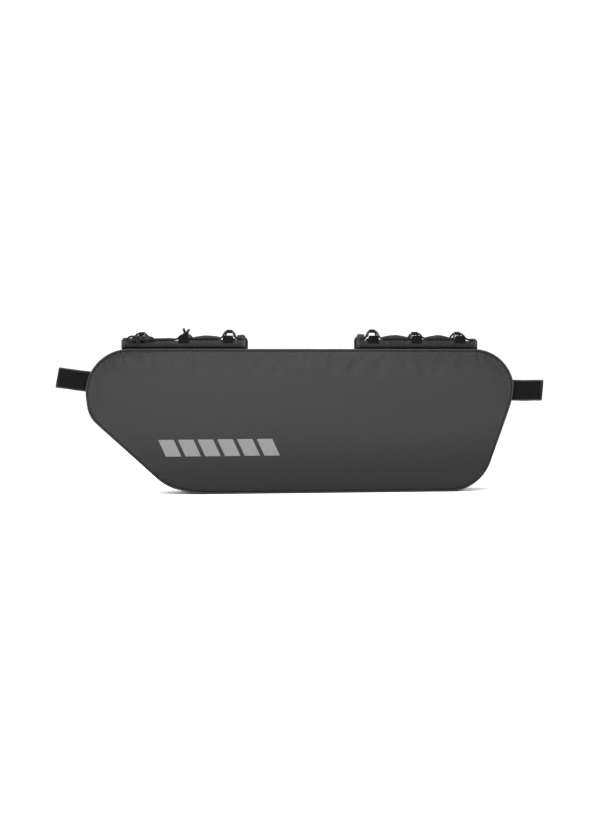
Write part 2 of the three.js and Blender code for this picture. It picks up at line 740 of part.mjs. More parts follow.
// A small knot on top of a crossing, with the two cut ends of the cord standing out of it
function laceTails(along, topOfCrossing) {
  const middle = new THREE.Vector3(along, 0, topOfCrossing + CLEARANCE + KNOT_DIAMETER / 2);
  const knot = new THREE.SphereGeometry(KNOT_DIAMETER / 2, KNOT_SIDES, KNOT_ROWS);
  knot.rotateX(Math.PI / 2);
  knot.translate(middle.x, middle.y, middle.z);
  let solid = toSolid(knot);
  for (const side of [-1, 1]) {
    const angle = THREE.MathUtils.degToRad(side * TAIL_LEAN_DEGREES);
    const way = new THREE.Vector3(Math.sin(angle), -Math.abs(Math.sin(angle)), Math.cos(angle));
    const tip = middle.clone().addScaledVector(way, TAIL_LENGTH);
    solid = solid.add(toSolid(cordGeometry([middle, tip], LACE_DIAMETER)));
  }
  return piece('left_lace_tails', toGeometry(solid), ELASTIC_CORD);
}

// A tied bow in front of a lace point: a round knot with a loop to each side
function laceBow(along) {
  const depth = -(SLEEVE_SPREAD / 2 + CLOTH / 2 + 2 * CLEARANCE + TAB_THICKNESS + BOW_DEPTH / 2);
  const middle = new THREE.Vector3(along, depth, HEM_HEIGHT + BOW_RAISE);
  const knot = new THREE.SphereGeometry(0.5, KNOT_SIDES, KNOT_ROWS);
  knot.rotateX(Math.PI / 2);
  knot.scale(BOW_WIDTH, BOW_DEPTH, BOW_HEIGHT);
  knot.translate(middle.x, middle.y, middle.z);
  let solid = toSolid(knot);
  for (const loop of BOW_LOOPS) {
    const route = Array.from({ length: BOW_STEPS + 1 }, (_, k) => {
      const angle = THREE.MathUtils.degToRad(loop.from + (k * loop.sweep) / BOW_STEPS);
      const out = BOW_WIDTH * (loop.start + (loop.length * (1 + Math.cos(angle))) / 2);
      const up = BOW_HEIGHT * loop.raise + (BOW_WIDTH * loop.height * Math.sin(angle)) / 2;
      return middle.clone().add(new THREE.Vector3(loop.towards * out, 0, up));
    });
    solid = solid.add(toSolid(cordGeometry(route, LACE_DIAMETER)));
  }
  return piece('left_lace_bow', toGeometry(solid), ELASTIC_CORD);
}

// One laced sleeve. The bag's middle is towards innerEnd.
function sleeve(label, along, innerEnd, overCrests) {
  const group = topEdgeGroup(along, PIPING_PROUD);
  for (const [place, side] of [['front', -1], ['back', 1]]) {
    group.add(piece(`${label}_${place}_flap`, flapGeometry(side, innerEnd), FLAP_FABRIC));
    LACE_POINTS.forEach((point, k) => {
      group.add(laceTab(`${label}_${place}_lace_tab_${k + 1}`, side, point));
    });
  }
  const drop = LACE_DIAMETER + 2 * CLEARANCE;
  const underCrests = overCrests.map((crest) => crest - drop);
  group.add(lace(`${label}_lace_over`, -1, overCrests, innerEnd));
  group.add(lace(`${label}_lace_under`, 1, underCrests, innerEnd));
  return group;
}

function leftSleeve() {
  const crests = [LACE_CREST, LACE_LOW_CREST, LACE_CREST];
  const group = sleeve('left', LEFT_SLEEVE.along * BODY_LENGTH, 1, crests);
  const middlePoint = LACE_POINTS[1];
  const crossingTop = hemMiddle(middlePoint, 1) + LACE_LOW_CREST + LACE_DIAMETER / 2;
  group.add(laceTails(middlePoint, crossingTop), laceBow(LACE_POINTS[0]));
  return group;
}

function rightSleeve() {
  const crests = [LACE_CREST, LACE_CREST, LACE_CREST];
  return sleeve('right', RIGHT_SLEEVE.along * BODY_LENGTH, -1, crests);
}

const bag = new THREE.Group();
const zip = zipGroup();
bag.add(piece('front_panel', panelGeometry(-1), COATED_FABRIC));
bag.add(backPanel(zip.matrix));
bag.add(gusset(), piping('front_piping', -1), piping('back_piping', 1));
bag.add(zip, reflectiveBars(), leftSleeve(), rightSleeve());
STRAPS.forEach((row) => bag.add(strap(row)));

// The origin is the middle of the underside
const extent = new THREE.Box3().setFromObject(bag);
const middle = extent.getCenter(new THREE.Vector3());
bag.position.set(-middle.x, -middle.y, -extent.min.z);

export default bag;
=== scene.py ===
"""Bicycle frame bag in a plain studio: cloth, webbing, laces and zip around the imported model.

Metres, in the row's frame: +Z up, X from the head tube end to the seat tube end, -Y towards the
viewer of the plain face.
"""

import logging
import math
from dataclasses import dataclass, field
from enum import Enum
from typing import Any, Sequence

import bmesh
import bpy
import numpy as np
from bpy.types import Material, Mesh, Node, NodeSocket, Object
from mathutils import Matrix, Vector
from mathutils.bvhtree import BVHTree
from mathutils.geometry import delaunay_2d_cdt


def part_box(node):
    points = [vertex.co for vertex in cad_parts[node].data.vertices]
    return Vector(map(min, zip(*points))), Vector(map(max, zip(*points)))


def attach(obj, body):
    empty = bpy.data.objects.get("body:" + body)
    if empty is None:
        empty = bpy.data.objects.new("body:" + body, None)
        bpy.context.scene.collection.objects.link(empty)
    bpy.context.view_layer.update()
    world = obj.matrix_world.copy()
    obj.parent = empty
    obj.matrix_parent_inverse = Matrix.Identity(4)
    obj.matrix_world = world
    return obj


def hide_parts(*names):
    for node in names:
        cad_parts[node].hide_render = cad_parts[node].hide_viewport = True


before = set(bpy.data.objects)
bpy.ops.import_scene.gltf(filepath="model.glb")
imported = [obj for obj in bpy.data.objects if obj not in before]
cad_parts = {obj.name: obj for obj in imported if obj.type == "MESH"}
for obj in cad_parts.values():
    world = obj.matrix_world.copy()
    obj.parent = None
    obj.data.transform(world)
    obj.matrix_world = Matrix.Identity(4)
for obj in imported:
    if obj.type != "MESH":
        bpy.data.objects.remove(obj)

log = logging.getLogger("frame_bag")
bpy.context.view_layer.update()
MM = 0.001
BODY_LENGTH = 514 * MM
BODY_HEIGHT = 175.5 * MM
BODY_DEPTH = 56 * MM
PIPING_DIAMETER = 3.4 * MM
PIPING_PROUD = 1 * MM
CLEARANCE = 0.3 * MM
CLOTH = 1.5 * MM
TOP_SLOPE = math.atan2(BODY_HEIGHT * (1.005 - 0.97), BODY_LENGTH * (0.499 + 0.514))
WALL = 1.1 * MM


def middle_of(node: str) -> Vector:
    """Middle of the box of a CAD node, in metres."""
    low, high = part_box(node)
    return (low + high) / 2


BAG_X = middle_of("zip").x
BAG_Y = middle_of("gusset").y


class Pattern(Enum):
    """Which coordinates a pattern on cloth follows."""

    FACE = "face"
    SURFACE = "surface"


class Side(Enum):
    """Which long side of the bag a piece is on."""

    FRONT = -1
    BACK = 1


@dataclass(frozen=True)
class Value:
    """A number socket that turns Python arithmetic into Math nodes."""

    graph: "Graph"
    socket: NodeSocket

    def math(self, operation: str, *others: Any) -> "Value":
        """Adds one Math node after this value, with the other inputs given."""
        return self.graph.math(operation, self, *others)

    def __add__(self, other: Any) -> "Value":
        """Sum."""
        return self.math("ADD", other)

    def __radd__(self, other: Any) -> "Value":
        """Sum with the number first."""
        return self.math("ADD", other)

    def __sub__(self, other: Any) -> "Value":
        """Difference."""
        return self.math("SUBTRACT", other)

    def __rsub__(self, other: Any) -> "Value":
        """Difference with the number first."""
        return self.graph.math("SUBTRACT", other, self)

    def __mul__(self, other: Any) -> "Value":
        """Product."""
        return self.math("MULTIPLY", other)

    def sine(self) -> "Value":
        """Sine of the value in radians."""
        return self.math("SINE")

    def size(self) -> "Value":
        """The value without its sign."""
        return self.math("ABSOLUTE")

    def between(self, low: float, high: float) -> "Value":
        """Share of the way from low to high, eased and kept from 0 to 1.

        Args:
            low: Value that gives 0.
            high: Value that gives 1.

        Returns:
            The share.
        """
        node = self.graph.node(
            "ShaderNodeMapRange", {"interpolation_type": "SMOOTHSTEP"},
            {"Value": self, "From Min": low, "From Max": high},
        )
        return Value(self.graph, node.outputs["Result"])

    def wave(self, length: float) -> "Value":
        """A wave of this length along the value, from 0 to 1."""
        return (self * (math.tau / length)).sine() * 0.5 + 0.5


class Nodes:
    """A node tree, with one way to add any node."""

    tree: bpy.types.NodeTree

    def node(self, kind: str, settings: dict[str, Any], inputs: dict[Any, Any]) -> Node:
        """Adds a node, sets what it is and then feeds its sockets.

        Args:
            kind: Blender's type name of the node.
            settings: Properties that are set first.
            inputs: Values or links of the sockets, by name or place.

        Returns:
            The node.
        """
        made = self.tree.nodes.new(kind)
        for name, value in settings.items():
            setattr(made, name, value)
        for name, value in inputs.items():
            source = value.socket if isinstance(value, Value) else value
            if isinstance(source, NodeSocket):
                self.tree.links.new(source, made.inputs[name])
            else:
                made.inputs[name].default_value = source
        return made


class Graph(Nodes):
    """The node tree of a material."""

    def __init__(self, name: str) -> None:
        """Starts an empty material.

        Args:
            name: Name of the material.
        """
        self.material = bpy.data.materials.new(name)
        self.material.use_nodes = True
        self.tree = self.material.node_tree
        self.tree.nodes.clear()

    def math(self, operation: str, *terms: Any) -> Value:
        """Adds a Math node with its terms in order."""
        node = self.node("ShaderNodeMath", {"operation": operation}, dict(enumerate(terms)))
        return Value(self, node.outputs[0])

    def coordinates(self, kind: str) -> list[Value]:
        """The three coordinates of one kind, in metres.

        Args:
            kind: Blender's name of the kind, Object or UV.

        Returns:
            The coordinates.
        """
        source = self.node("ShaderNodeTexCoord", {}, {}).outputs[kind]
        parts = self.node("ShaderNodeSeparateXYZ", {}, {0: source}).outputs
        return [Value(self, part) for part in parts]

    def attribute(self, name: str) -> Value:
        """A number that the mesh keeps at each point."""
        return Value(
            self, self.node("ShaderNodeAttribute", {"attribute_name": name}, {}).outputs["Fac"]
        )

    def noise(
        self, grain: float, detail: float = 2.0, stretch: Sequence[float] = (1, 1, 1)
    ) -> Value:
        """Noise over the piece's Object coordinates.

        Args:
            grain: Size of its features in metres.
            detail: How many finer layers it has.
            stretch: How much longer the features are along X, Y and Z.

        Returns:
            The noise, from 0 to 1 and mostly near 0.5.
        """
        source = self.node("ShaderNodeTexCoord", {}, {}).outputs["Object"]
        scale = tuple(1 / (grain * share) for share in stretch)
        moved = self.node("ShaderNodeMapping", {}, {"Vector": source, "Scale": scale})
        made = self.node(
            "ShaderNodeTexNoise", {}, {"Vector": moved.outputs[0], "Scale": 1.0, "Detail": detail}
        )
        return Value(self, made.outputs["Fac"])

    def blend(self, share: Any, first: Any, second: Any) -> NodeSocket:
        """Mixes two colours.

        Args:
            share: How much of the second colour there is.
            first: The colour at 0, as a socket or as red, green and blue.
            second: The colour at 1.

        Returns:
            The colour's socket.
        """
        ends = [(*end, 1.0) if isinstance(end, tuple) else end for end in (first, second)]
        node = self.node("ShaderNodeMix", {"data_type": "RGBA"}, {0: share, 6: ends[0], 7: ends[1]})
        return node.outputs[2]

    def bump(self, height: Value, depth: float, before: Any = None) -> NodeSocket:
        """Adds a Bump node.

        Args:
            height: Height from 0 to 1.
            depth: How deep a height of 1 is, in metres.
            before: Normal of an earlier Bump node.

        Returns:
            The normal's socket.
        """
        inputs: dict[Any, Any] = {"Height": height, "Distance": depth, "Strength": 1.0}
        if before is not None:
            inputs["Normal"] = before
        return self.node("ShaderNodeBump", {}, inputs).outputs["Normal"]

    def finish(self, inputs: dict[str, Any]) -> Material:
        """Ends the tree in a Principled shader.

        Args:
            inputs: Values or links of its sockets.

        Returns:
            The material.
        """
        shader = self.node("ShaderNodeBsdfPrincipled", {}, inputs)
        self.node("ShaderNodeOutputMaterial", {}, {"Surface": shader.outputs[0]})
        return self.material


def grey(level: float, warmth: float = 0.0) -> tuple[float, float, float]:
    """A nearly neutral colour, with red above blue by the share called warmth."""
    return (level * (1 + warmth / 2), level, level * (1 - warmth / 2))


@dataclass(frozen=True)
class CoatedCloth:
    """Woven polyester with a satin coating: soft mottling, a fine weave, and painted shade low
    down, along the seams, near the top edge, at a flap's foot and at its crease.
    """

    name: str
    level: float
    roughness: float
    weave: float = 0.55 * MM
    weave_depth: float = 0.035 * MM
    pebble_depth: float = 0.05 * MM
    pattern: Pattern = Pattern.FACE
    # Painted shade: share of the colour that the shaded copy of the cloth keeps.
    shade_low: float = 1.0
    gloss: float = 0.35
    seam_pucker: float = 0.0
    # Painted shade: how far up from its foot a flap takes the shaded copy, for the shadow gap under
    # it.
    painted_shade_foot: float = 0.0

    def material(self) -> Material:
        """Builds the material.

        Returns:
            The material.
        """
        graph = Graph(self.name)
        across, _, height = graph.coordinates("Object")
        along, run, _ = graph.coordinates("UV")
        u, v = (across, height) if self.pattern is Pattern.FACE else (along, run)
        turn = math.tau / self.weave
        weave = (u * turn).sine() * (v * turn).sine() * 0.5 + 0.5
        pebble = graph.noise(1.4 * MM, 3.0)
        cloud = graph.noise(48 * MM, 3.0)
        smear = graph.noise(17 * MM, 2.0, (2.4, 1.0, 0.7))
        mottled = (cloud - 0.5) * 0.34 + (smear - 0.5) * 0.16 + (pebble - 0.5) * 0.1 + 0.5
        # A lit and a shaded copy of the cloth, blended by the painted shade below.
        light, dark = (
            graph.blend(mottled, grey(level * 0.86, -0.03), grey(level * 1.14, -0.03))
            for level in (self.level, self.level * self.shade_low)
        )
        # Painted shade: the cloth turns to the shaded copy towards the bottom of the bag.
        low = 1 - height.between(0.02, 0.092)
        # Painted shade on a flap: its foot and bend, for the shadow gap under it, and a band at the
        # crease under the hem.
        if self.painted_shade_foot > 0:
            low = 1 - run.between(self.painted_shade_foot - 1.6 * MM, self.painted_shade_foot)
            crease = run.between(16.2 * MM, 17.2 * MM) * (1 - run.between(28.2 * MM, 29.4 * MM))
            low = (low + crease).math("MINIMUM", 1.0)
        shown = graph.blend(low, light, dark)
        rough = (cloud - 0.5) * 0.16 + (pebble - 0.5) * 0.12 + self.roughness
        normal = graph.bump(pebble, self.pebble_depth, graph.bump(weave, self.weave_depth))
        if self.seam_pucker > 0:
            normal = graph.bump(self._puckers(graph), self.seam_pucker, normal)
            # Painted shade along the seams and near the top edge.
            shown = self._painted_shade(graph, shown, height)
        return graph.finish({
            "Base Color": shown, "Roughness": rough, "Normal": normal, "Sheen Weight": 0.02,
            "Sheen Roughness": 0.5, "Specular IOR Level": self.gloss,
        })

    def _painted_shade(self, graph: Graph, colour: NodeSocket, height: Value) -> NodeSocket:
        """Paints shade on the cloth along its seams and near its top edge.

        Args:
            graph: The material's graph.
            colour: The colour so far.
            height: Height above the floor.

        Returns:
            The darkened colour.
        """
        # Painted shade: darker within a few millimetres of the seam, as shade in the groove, and
        # darker near the top edge, against the light that falls on it.
        seam = (1 - graph.attribute("seam_inset").between(2.6 * MM, 6.0 * MM)) * 0.12
        return graph.blend(seam + height.between(0.135, 0.172) * 0.6, colour, grey(0.002))

    def _puckers(self, graph: Graph) -> Value:
        """Short folds that run inwards from the seam, stronger where it is bent.

        Args:
            graph: The material's graph.

        Returns:
            Their height, from 0 to 1.
        """
        inset, run, bent = map(graph.attribute, ("seam_inset", "seam_run", "seam_bent"))
        place = graph.node("ShaderNodeCombineXYZ", {}, {"X": run, "Y": inset * 0.22})
        folds = graph.node(
            "ShaderNodeTexNoise", {"noise_dimensions": "2D"},
            {"Vector": place.outputs[0], "Scale": 1 / (2.2 * MM), "Detail": 1.0},
        )
        near = inset.between(1.6 * MM, 3.2 * MM) * (1 - inset.between(4.5 * MM, 11 * MM))
        return Value(graph, folds.outputs[0]) * near * (bent * 0.85 + 0.15)


@dataclass(frozen=True)
class Webbing:
    """Woven strap: ribs across its length, fuzz and bound edges, with painted highlights on the
    edges and the far end.
    """

    name: str
    level: float
    rib: float = 1.7 * MM
    width: float = 25 * MM
    depth: float = 0.22 * MM
    # Painted highlights: how much lighter the edges and the far end are, and where the far end
    # lies.
    edge_highlight: float = 26.0
    end: float = 290 * MM
    middle: float = -2.1 * MM

    def material(self) -> Material:
        """Builds the material.

        Returns:
            The material.
        """
        graph = Graph(self.name)
        u, v, _ = graph.coordinates("UV")
        rib = u.wave(self.rib)
        yarn = (
            v * (math.tau / (self.rib * 0.8)) + u * (math.tau / (self.rib * 2))
        ).sine() * 0.5 + 0.5
        fuzz = graph.noise(0.7 * MM, 4.0)
        patch = graph.noise(9 * MM, 2.0)
        # Painted highlights: the strap's edges, and its far end where it bends round, are lightened
        # where they catch the light.
        edge = v.size().between(self.width * 0.41, self.width * 0.46)
        across, behind, _ = graph.coordinates("Object")
        far = across.size().between(self.end, self.end + 4.5 * MM)
        far = far * (behind - self.middle).size().between(14 * MM, 19 * MM)
        # The painted highlights are mixed into the colour here with the fuzz, patches and ribs.
        share = fuzz * 0.1 + patch * 0.06 + rib * 0.03 + edge * 0.75 + far * 0.4
        colour = graph.blend(share, grey(self.level * 0.45), grey(self.level * self.edge_highlight))
        height = rib * 0.45 + yarn * 0.2 + fuzz * 0.5 - edge * 0.3
        return graph.finish({
            "Base Color": colour, "Roughness": 0.97 - fuzz * 0.16,
            "Normal": graph.bump(height, self.depth), "Sheen Weight": 0.01, "Sheen Roughness": 0.4,
            "Specular IOR Level": 0.05,
        })


@dataclass(frozen=True)
class Braid:
    """Braided sheath of an elastic cord, in the cord's own UV map."""

    name: str
    level: float
    pitch: float = 1.6 * MM
    around: float = 2.2 * math.pi * MM
    strands: int = 6

    def material(self) -> Material:
        """Builds the material.

        Returns:
            The material.
        """
        graph = Graph(self.name)
        u, v, _ = graph.coordinates("UV")
        along = u * (math.tau / self.pitch)
        round_it = v * (math.tau * self.strands / self.around)
        one = (along + round_it).sine()
        other = (along - round_it).sine()
        weave = one.math("MAXIMUM", other) * 0.5 + 0.5
        fuzz = graph.noise(0.5 * MM, 3.0)
        share = weave * 0.65 + fuzz * 0.35
        colour = graph.blend(share, grey(self.level * 0.4), grey(self.level * 1.9))
        return graph.finish({
            "Base Color": colour, "Roughness": 0.8 - weave * 0.22,
            "Normal": graph.bump(weave * 0.7 + fuzz * 0.3, 0.16 * MM), "Sheen Weight": 0.03,
            "Specular IOR Level": 0.15,
        })


@dataclass(frozen=True)
class RibbedTape:
    """Grosgrain or zip tape: fine ribs across its length."""

    name: str
    level: float
    rib: float = 0.9 * MM
    gloss: float = 0.3

    def material(self) -> Material:
        """Builds the material.

        Returns:
            The material.
        """
        graph = Graph(self.name)
        u, _, v = graph.coordinates("Object")
        rib, thread = u.wave(self.rib), v.wave(self.rib * 0.7)
        lint = graph.noise(1.1 * MM, 3.0)
        colour = graph.blend(
            rib * 0.5 + lint * 0.5, grey(self.level * 0.55), grey(self.level * 1.7)
        )
        return graph.finish({
            "Base Color": colour, "Roughness": 0.9 - rib * 0.15,
            "Normal": graph.bump(rib * 0.6 + thread * 0.2 + lint * 0.2, 0.14 * MM),
            "Sheen Weight": 0.02, "Specular IOR Level": self.gloss,
        })


@dataclass(frozen=True)
class ReflectiveFilm:
    """Silver grey film with tiny beads under a clear skin."""

    name: str
    level: float

    def material(self) -> Material:
        """Builds the material.

        Returns:
            The material.
        """
        graph = Graph(self.name)
        source = graph.node("ShaderNodeTexCoord", {}, {}).outputs["Object"]
        cells = graph.node(
            "ShaderNodeTexVoronoi", {"feature": "DISTANCE_TO_EDGE"},
            {"Vector": source, "Scale": 900.0},
        )
        bead = Value(graph, cells.outputs["Distance"]).between(0.0, 0.4)
        dust = graph.noise(6 * MM, 4.0)
        share = bead * 0.3 + dust * 0.7
        colour = graph.blend(share, grey(self.level * 0.86), grey(self.level * 1.12))
        return graph.finish({
            "Base Color": colour, "Metallic": 0.25, "Roughness": 0.42 + dust * 0.16,
            "Normal": graph.bump(bead * 0.5 + dust * 0.5, 0.03 * MM), "Coat Weight": 0.25,
            "Coat Roughness": 0.2,
        })


@dataclass(frozen=True)
class Lacquer:
    """Black lacquered metal or moulded coil: smooth, with fine scratches and rubbed places."""

    name: str
    level: float
    metal: float
    roughness: float

    def material(self) -> Material:
        """Builds the material.

        Returns:
            The material.
        """
        graph = Graph(self.name)
        rub = graph.noise(3 * MM, 5.0)
        scratch = graph.noise(0.8 * MM, 3.0, (9.0, 1.0, 1.0))
        colour = graph.blend(rub, grey(self.level * 0.7), grey(self.level * 1.5))
        return graph.finish({
            "Base Color": colour, "Metallic": self.metal,
            "Roughness": (scratch - 0.5) * 0.25 + self.roughness,
            "Normal": graph.bump(scratch, 0.02 * MM),
        })


@dataclass(frozen=True)
class Thread:
    """Twisted sewing thread."""

    name: str
    level: float

    def material(self) -> Material:
        """Builds the material.

        Returns:
            The material.
        """
        graph = Graph(self.name)
        twist = graph.noise(0.35 * MM, 2.0)
        colour = graph.blend(twist, grey(self.level * 0.6), grey(self.level * 1.6))
        return graph.finish({
            "Base Color": colour, "Roughness": 0.72 - twist * 0.2,
            "Normal": graph.bump(twist, 0.05 * MM), "Specular IOR Level": 0.2,
        })


@dataclass(frozen=True)
class StudioPaper:
    """Pale matt paper of the floor and the backdrop."""

    name: str
    level: float

    def material(self) -> Material:
        """Builds the material.

        Returns:
            The material.
        """
        graph = Graph(self.name)
        fibre = graph.noise(30 * MM, 3.0)
        colour = graph.blend(fibre, grey(self.level * 0.995), grey(self.level))
        return graph.finish({
            "Base Color": colour, "Roughness": 0.9 + fibre * 0.05,
            "Normal": graph.bump(fibre, 0.02 * MM), "Specular IOR Level": 0.1,
        })


@dataclass(frozen=True)
class Finishes:
    """Every material of the bag, made once."""

    panel: Material
    gusset: Material
    piping: Material
    flap: Material
    webbing: Material
    tab: Material
    cord: Material
    cord_tip: Material
    film: Material
    tape: Material
    coil: Material
    slider: Material
    thread: Material
    pale_thread: Material

    @staticmethod
    def make() -> "Finishes":
        """Makes the materials.

        Returns:
            All of them.
        """
        return Finishes(
            # Painted shade on the panels: darker towards the bottom, along the seams and near the
            # top edge.
            panel=CoatedCloth(
                "coated_fabric", 0.0165, 0.46, shade_low=0.54, gloss=0.16, seam_pucker=2.0 * MM
            ).material(),
            gusset=CoatedCloth(
                "gusset_fabric", 0.014, 0.56, pattern=Pattern.SURFACE, gloss=0.25
            ).material(),
            piping=CoatedCloth(
                "piping_fabric", 0.021, 0.42, weave=0.8 * MM, pattern=Pattern.SURFACE, gloss=0.12
            ).material(),
            # Painted shade on the flaps: at the foot and bend, and along the crease under the hem.
            flap=CoatedCloth(
                "flap_fabric", 0.0065, 0.46, weave=0.7 * MM, pebble_depth=0.12 * MM, shade_low=0.3,
                gloss=0.14, painted_shade_foot=12.2 * MM,
            ).material(),
            # Painted highlights on the strap's edges and far end.
            webbing=Webbing("webbing", 0.0014).material(),
            tab=RibbedTape("grosgrain", 0.0026, rib=1.0 * MM, gloss=0.05).material(),
            cord=Braid("elastic_cord", 0.0045).material(),
            # Painted highlight: a much lighter copy of the cord for the tips of the tails.
            cord_tip=Braid("elastic_cord_core", 0.07, pitch=0.9 * MM).material(),
            film=ReflectiveFilm("reflective_film", 0.118).material(),
            tape=RibbedTape("zip_tape", 0.008, rib=0.8 * MM, gloss=0.3).material(),
            coil=Lacquer("zip_coil", 0.012, 0.0, 0.38).material(),
            slider=Lacquer("slider_metal", 0.03, 0.85, 0.34).material(),
            thread=Thread("sewing_thread", 0.016).material(),
            pale_thread=Thread("pale_sewing_thread", 0.13).material(),
        )


class Draft:
    """Collects the grids of one piece and makes a mesh of them, with a UV map in metres."""

    def __init__(self) -> None:
        """Starts with nothing."""
        self.points: list[np.ndarray] = []
        self.faces: list[list[int]] = []
        self.uvs: list[np.ndarray] = []
        self.count = 0

    def grid(
        self, points: np.ndarray, uv: np.ndarray, wrap_rows: bool = False,
        wrap_columns: bool = False, capped: bool = False,
    ) -> None:
        """Adds a grid of four-sided faces.

        Args:
            points: Rows, columns and the three coordinates.
            uv: The same with two coordinates, and one more row or column where it wraps.
            wrap_rows: Whether the last row joins the first.
            wrap_columns: Whether the last column joins the first.
            capped: Whether the first and the last row are closed by a fan.
        """
        rows, columns = points.shape[:2]
        base = self.count
        self.points.append(points.reshape(-1, 3))
        self.count += rows * columns
        row, column = np.meshgrid(
            np.arange(rows if wrap_rows else rows - 1),
            np.arange(columns if wrap_columns else columns - 1), indexing="ij",
        )
        around = ((row, column), (row, column + 1), (row + 1, column + 1), (row + 1, column))
        quads = [base + (r % rows) * columns + c % columns for r, c in around]
        self.faces.extend(np.stack(quads, axis=-1).reshape(-1, 4).tolist())
        self.uvs.append(np.stack([uv[r, c] for r, c in around], axis=-2).reshape(-1, 2))
        if capped:
            self._cap(points[0], base, uv[0], True)
            self._cap(points[-1], base + (rows - 1) * columns, uv[-1], False)

    def _cap(self, ring: np.ndarray, base: int, uv: np.ndarray, turned: bool) -> None:
        """Closes a ring with a fan to its middle.

        Args:
            ring: The ring's points.
            base: Number of its first point.
            uv: UV of its points.
            turned: Whether the fan runs the other way round.
        """
        columns = len(ring)
        self.points.append(ring.mean(axis=0)[None])
        middle_uv = uv[:columns].mean(axis=0)
        for k in range(columns):
            after = (k + 1) % columns
            face = [base + k, base + after, self.count]
            corner = [uv[k], uv[after], middle_uv]
            self.faces.append(face[::-1] if turned else face)
            self.uvs.append(np.array(corner[::-1] if turned else corner))
        self.count += 1

    def tube(
        self, path: np.ndarray, radius: float, sides: int, closed: bool = False,
        flatten: float = 1.0,
    ) -> None:
        """Adds rings round a path, turned as little as possible from one to the next.

        Args:
            path: Points of the path.
            radius: Radius of the rings.
            sides: Points of a ring.
            closed: Whether the path joins its own start.
            flatten: Height of a ring as a share of its width.
        """
        tangent = np.gradient(path, axis=0)
        if closed:
            tangent = np.roll(path, -1, 0) - np.roll(path, 1, 0)
        tangent /= np.linalg.norm(tangent, axis=1)[:, None]
        normal = np.zeros_like(path)
        start = np.array([1.0, 0.0, 0.0] if abs(tangent[0, 2]) > 0.9 else [0.0, 0.0, 1.0])
        normal[0] = start - tangent[0] * (tangent[0] @ start)
        normal[0] /= np.linalg.norm(normal[0])
        for k in range(1, len(path)):
            turned = normal[k - 1] - tangent[k] * (tangent[k] @ normal[k - 1])
            normal[k] = turned / np.linalg.norm(turned)
        side = np.cross(tangent, normal)
        angle = (np.arange(sides) * math.tau / sides)[None, :, None]
        across = np.cos(angle) * side[:, None] + flatten * np.sin(angle) * normal[:, None]
        uv = uv_of(
            run_of(np.vstack([path, path[:1]]) if closed else path),
            np.arange(sides + 1) * math.tau * radius / sides,
        )
        self.grid(path[:, None] + radius * across, uv, closed, True, not closed)

    def piece(
        self, name: str, material: Material, sharp: float = 180, outward: bool = True
    ) -> Object:
        """Makes the object, shaded smooth.

        Args:
            name: Its name.
            material: Its finish.
            sharp: Edges that turn by more degrees than this look sharp.
            outward: Whether its faces are turned to point outwards, as on a closed shape.

        Returns:
            The object.
        """
        made = bpy.data.meshes.new(name)
        made.from_pydata(np.concatenate(self.points).tolist(), [], self.faces)
        layer = made.uv_layers.new(name="UVMap")
        layer.data.foreach_set("uv", np.concatenate(self.uvs).astype(np.float32).ravel())
        if outward:
            edit = bmesh.new()
            edit.from_mesh(made)
            bmesh.ops.recalc_face_normals(edit, faces=edit.faces[:])
            edit.to_mesh(made)
            edit.free()
        made.shade_smooth()
        if sharp < 180:
            made.set_sharp_from_angle(angle=math.radians(sharp))
        return show(name, made, material)


def show(name: str, mesh: Mesh, material: Material) -> Object:
    """Puts a mesh in the scene.

    Args:
        name: Name of the object.
        mesh: Its mesh.
        material: Its only material.

    Returns:
        The object.
    """
    mesh.name = name
    mesh.materials.clear()
    mesh.materials.append(material)
    made = bpy.data.objects.new(name, mesh)
    bpy.context.scene.collection.objects.link(made)
    return made


def thicken(piece: Object) -> None:
    """Gives a sheet its wall, on the inner side.

    Args:
        piece: The sheet.
    """
    wall = piece.modifiers.new("wall", "SOLIDIFY")
    wall.thickness = WALL
    wall.offset = -1


def stand_for(piece: Object, slot: str, *nodes: str) -> Object:
    """Lets a piece ride on the bag and stand for CAD nodes.

    Args:
        piece: The finished piece.
        slot: The record's material slot; not used.
        nodes: CAD nodes that it replaces.

    Returns:
        The piece.
    """
    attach(piece, "root")
    if nodes:
        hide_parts(*nodes)
    log.info("%s: %d faces", piece.name, len(piece.data.polygons))
    return piece


def joined(objects: list[Object], name: str) -> Object:
    """Joins meshes into one object and keeps their materials.

    Args:
        objects: Objects at the origin, each with one material.
        name: Name of the result.

    Returns:
        The joined object.
    """
    first = objects[0]
    if len(objects) > 1:
        with bpy.context.temp_override(
            active_object=first, object=first, selected_objects=objects,
            selected_editable_objects=objects,
        ):
            bpy.ops.object.join()
    first.name = name
    first.data.name = name
    return first


class Ripple:
    """A smooth, seeded sum of waves over two coordinates."""

    def __init__(self, seed: int, length: float, count: int = 9) -> None:
        """Draws the waves.

        Args:
            seed: Fixes the waves.
            length: Typical wavelength, in the unit of the coordinates.
            count: How many waves there are.
        """
        draw = np.random.default_rng(seed)
        way = draw.uniform(0, math.tau, count)
        size = math.tau / (length * draw.uniform(0.6, 1.7, count))
        self.first = size * np.cos(way)
        self.second = size * np.sin(way)
        self.phase = draw.uniform(0, math.tau, count)
        self.height = draw.uniform(0.4, 1.0, count) / math.sqrt(count)

    def __call__(self, u: np.ndarray, v: np.ndarray | float = 0.0) -> np.ndarray:
        """Height of the ripple.

        Args:
            u: First coordinates.
            v: Second coordinates.

        Returns:
            Heights, about -1 to 1.
        """
        u, v = np.broadcast_arrays(np.asarray(u, float), np.asarray(v, float))
        total = np.zeros(u.shape)
        for first, second, phase, height in zip(self.first, self.second, self.phase, self.height):
            total += height * np.sin(first * u + second * v + phase)
        return total


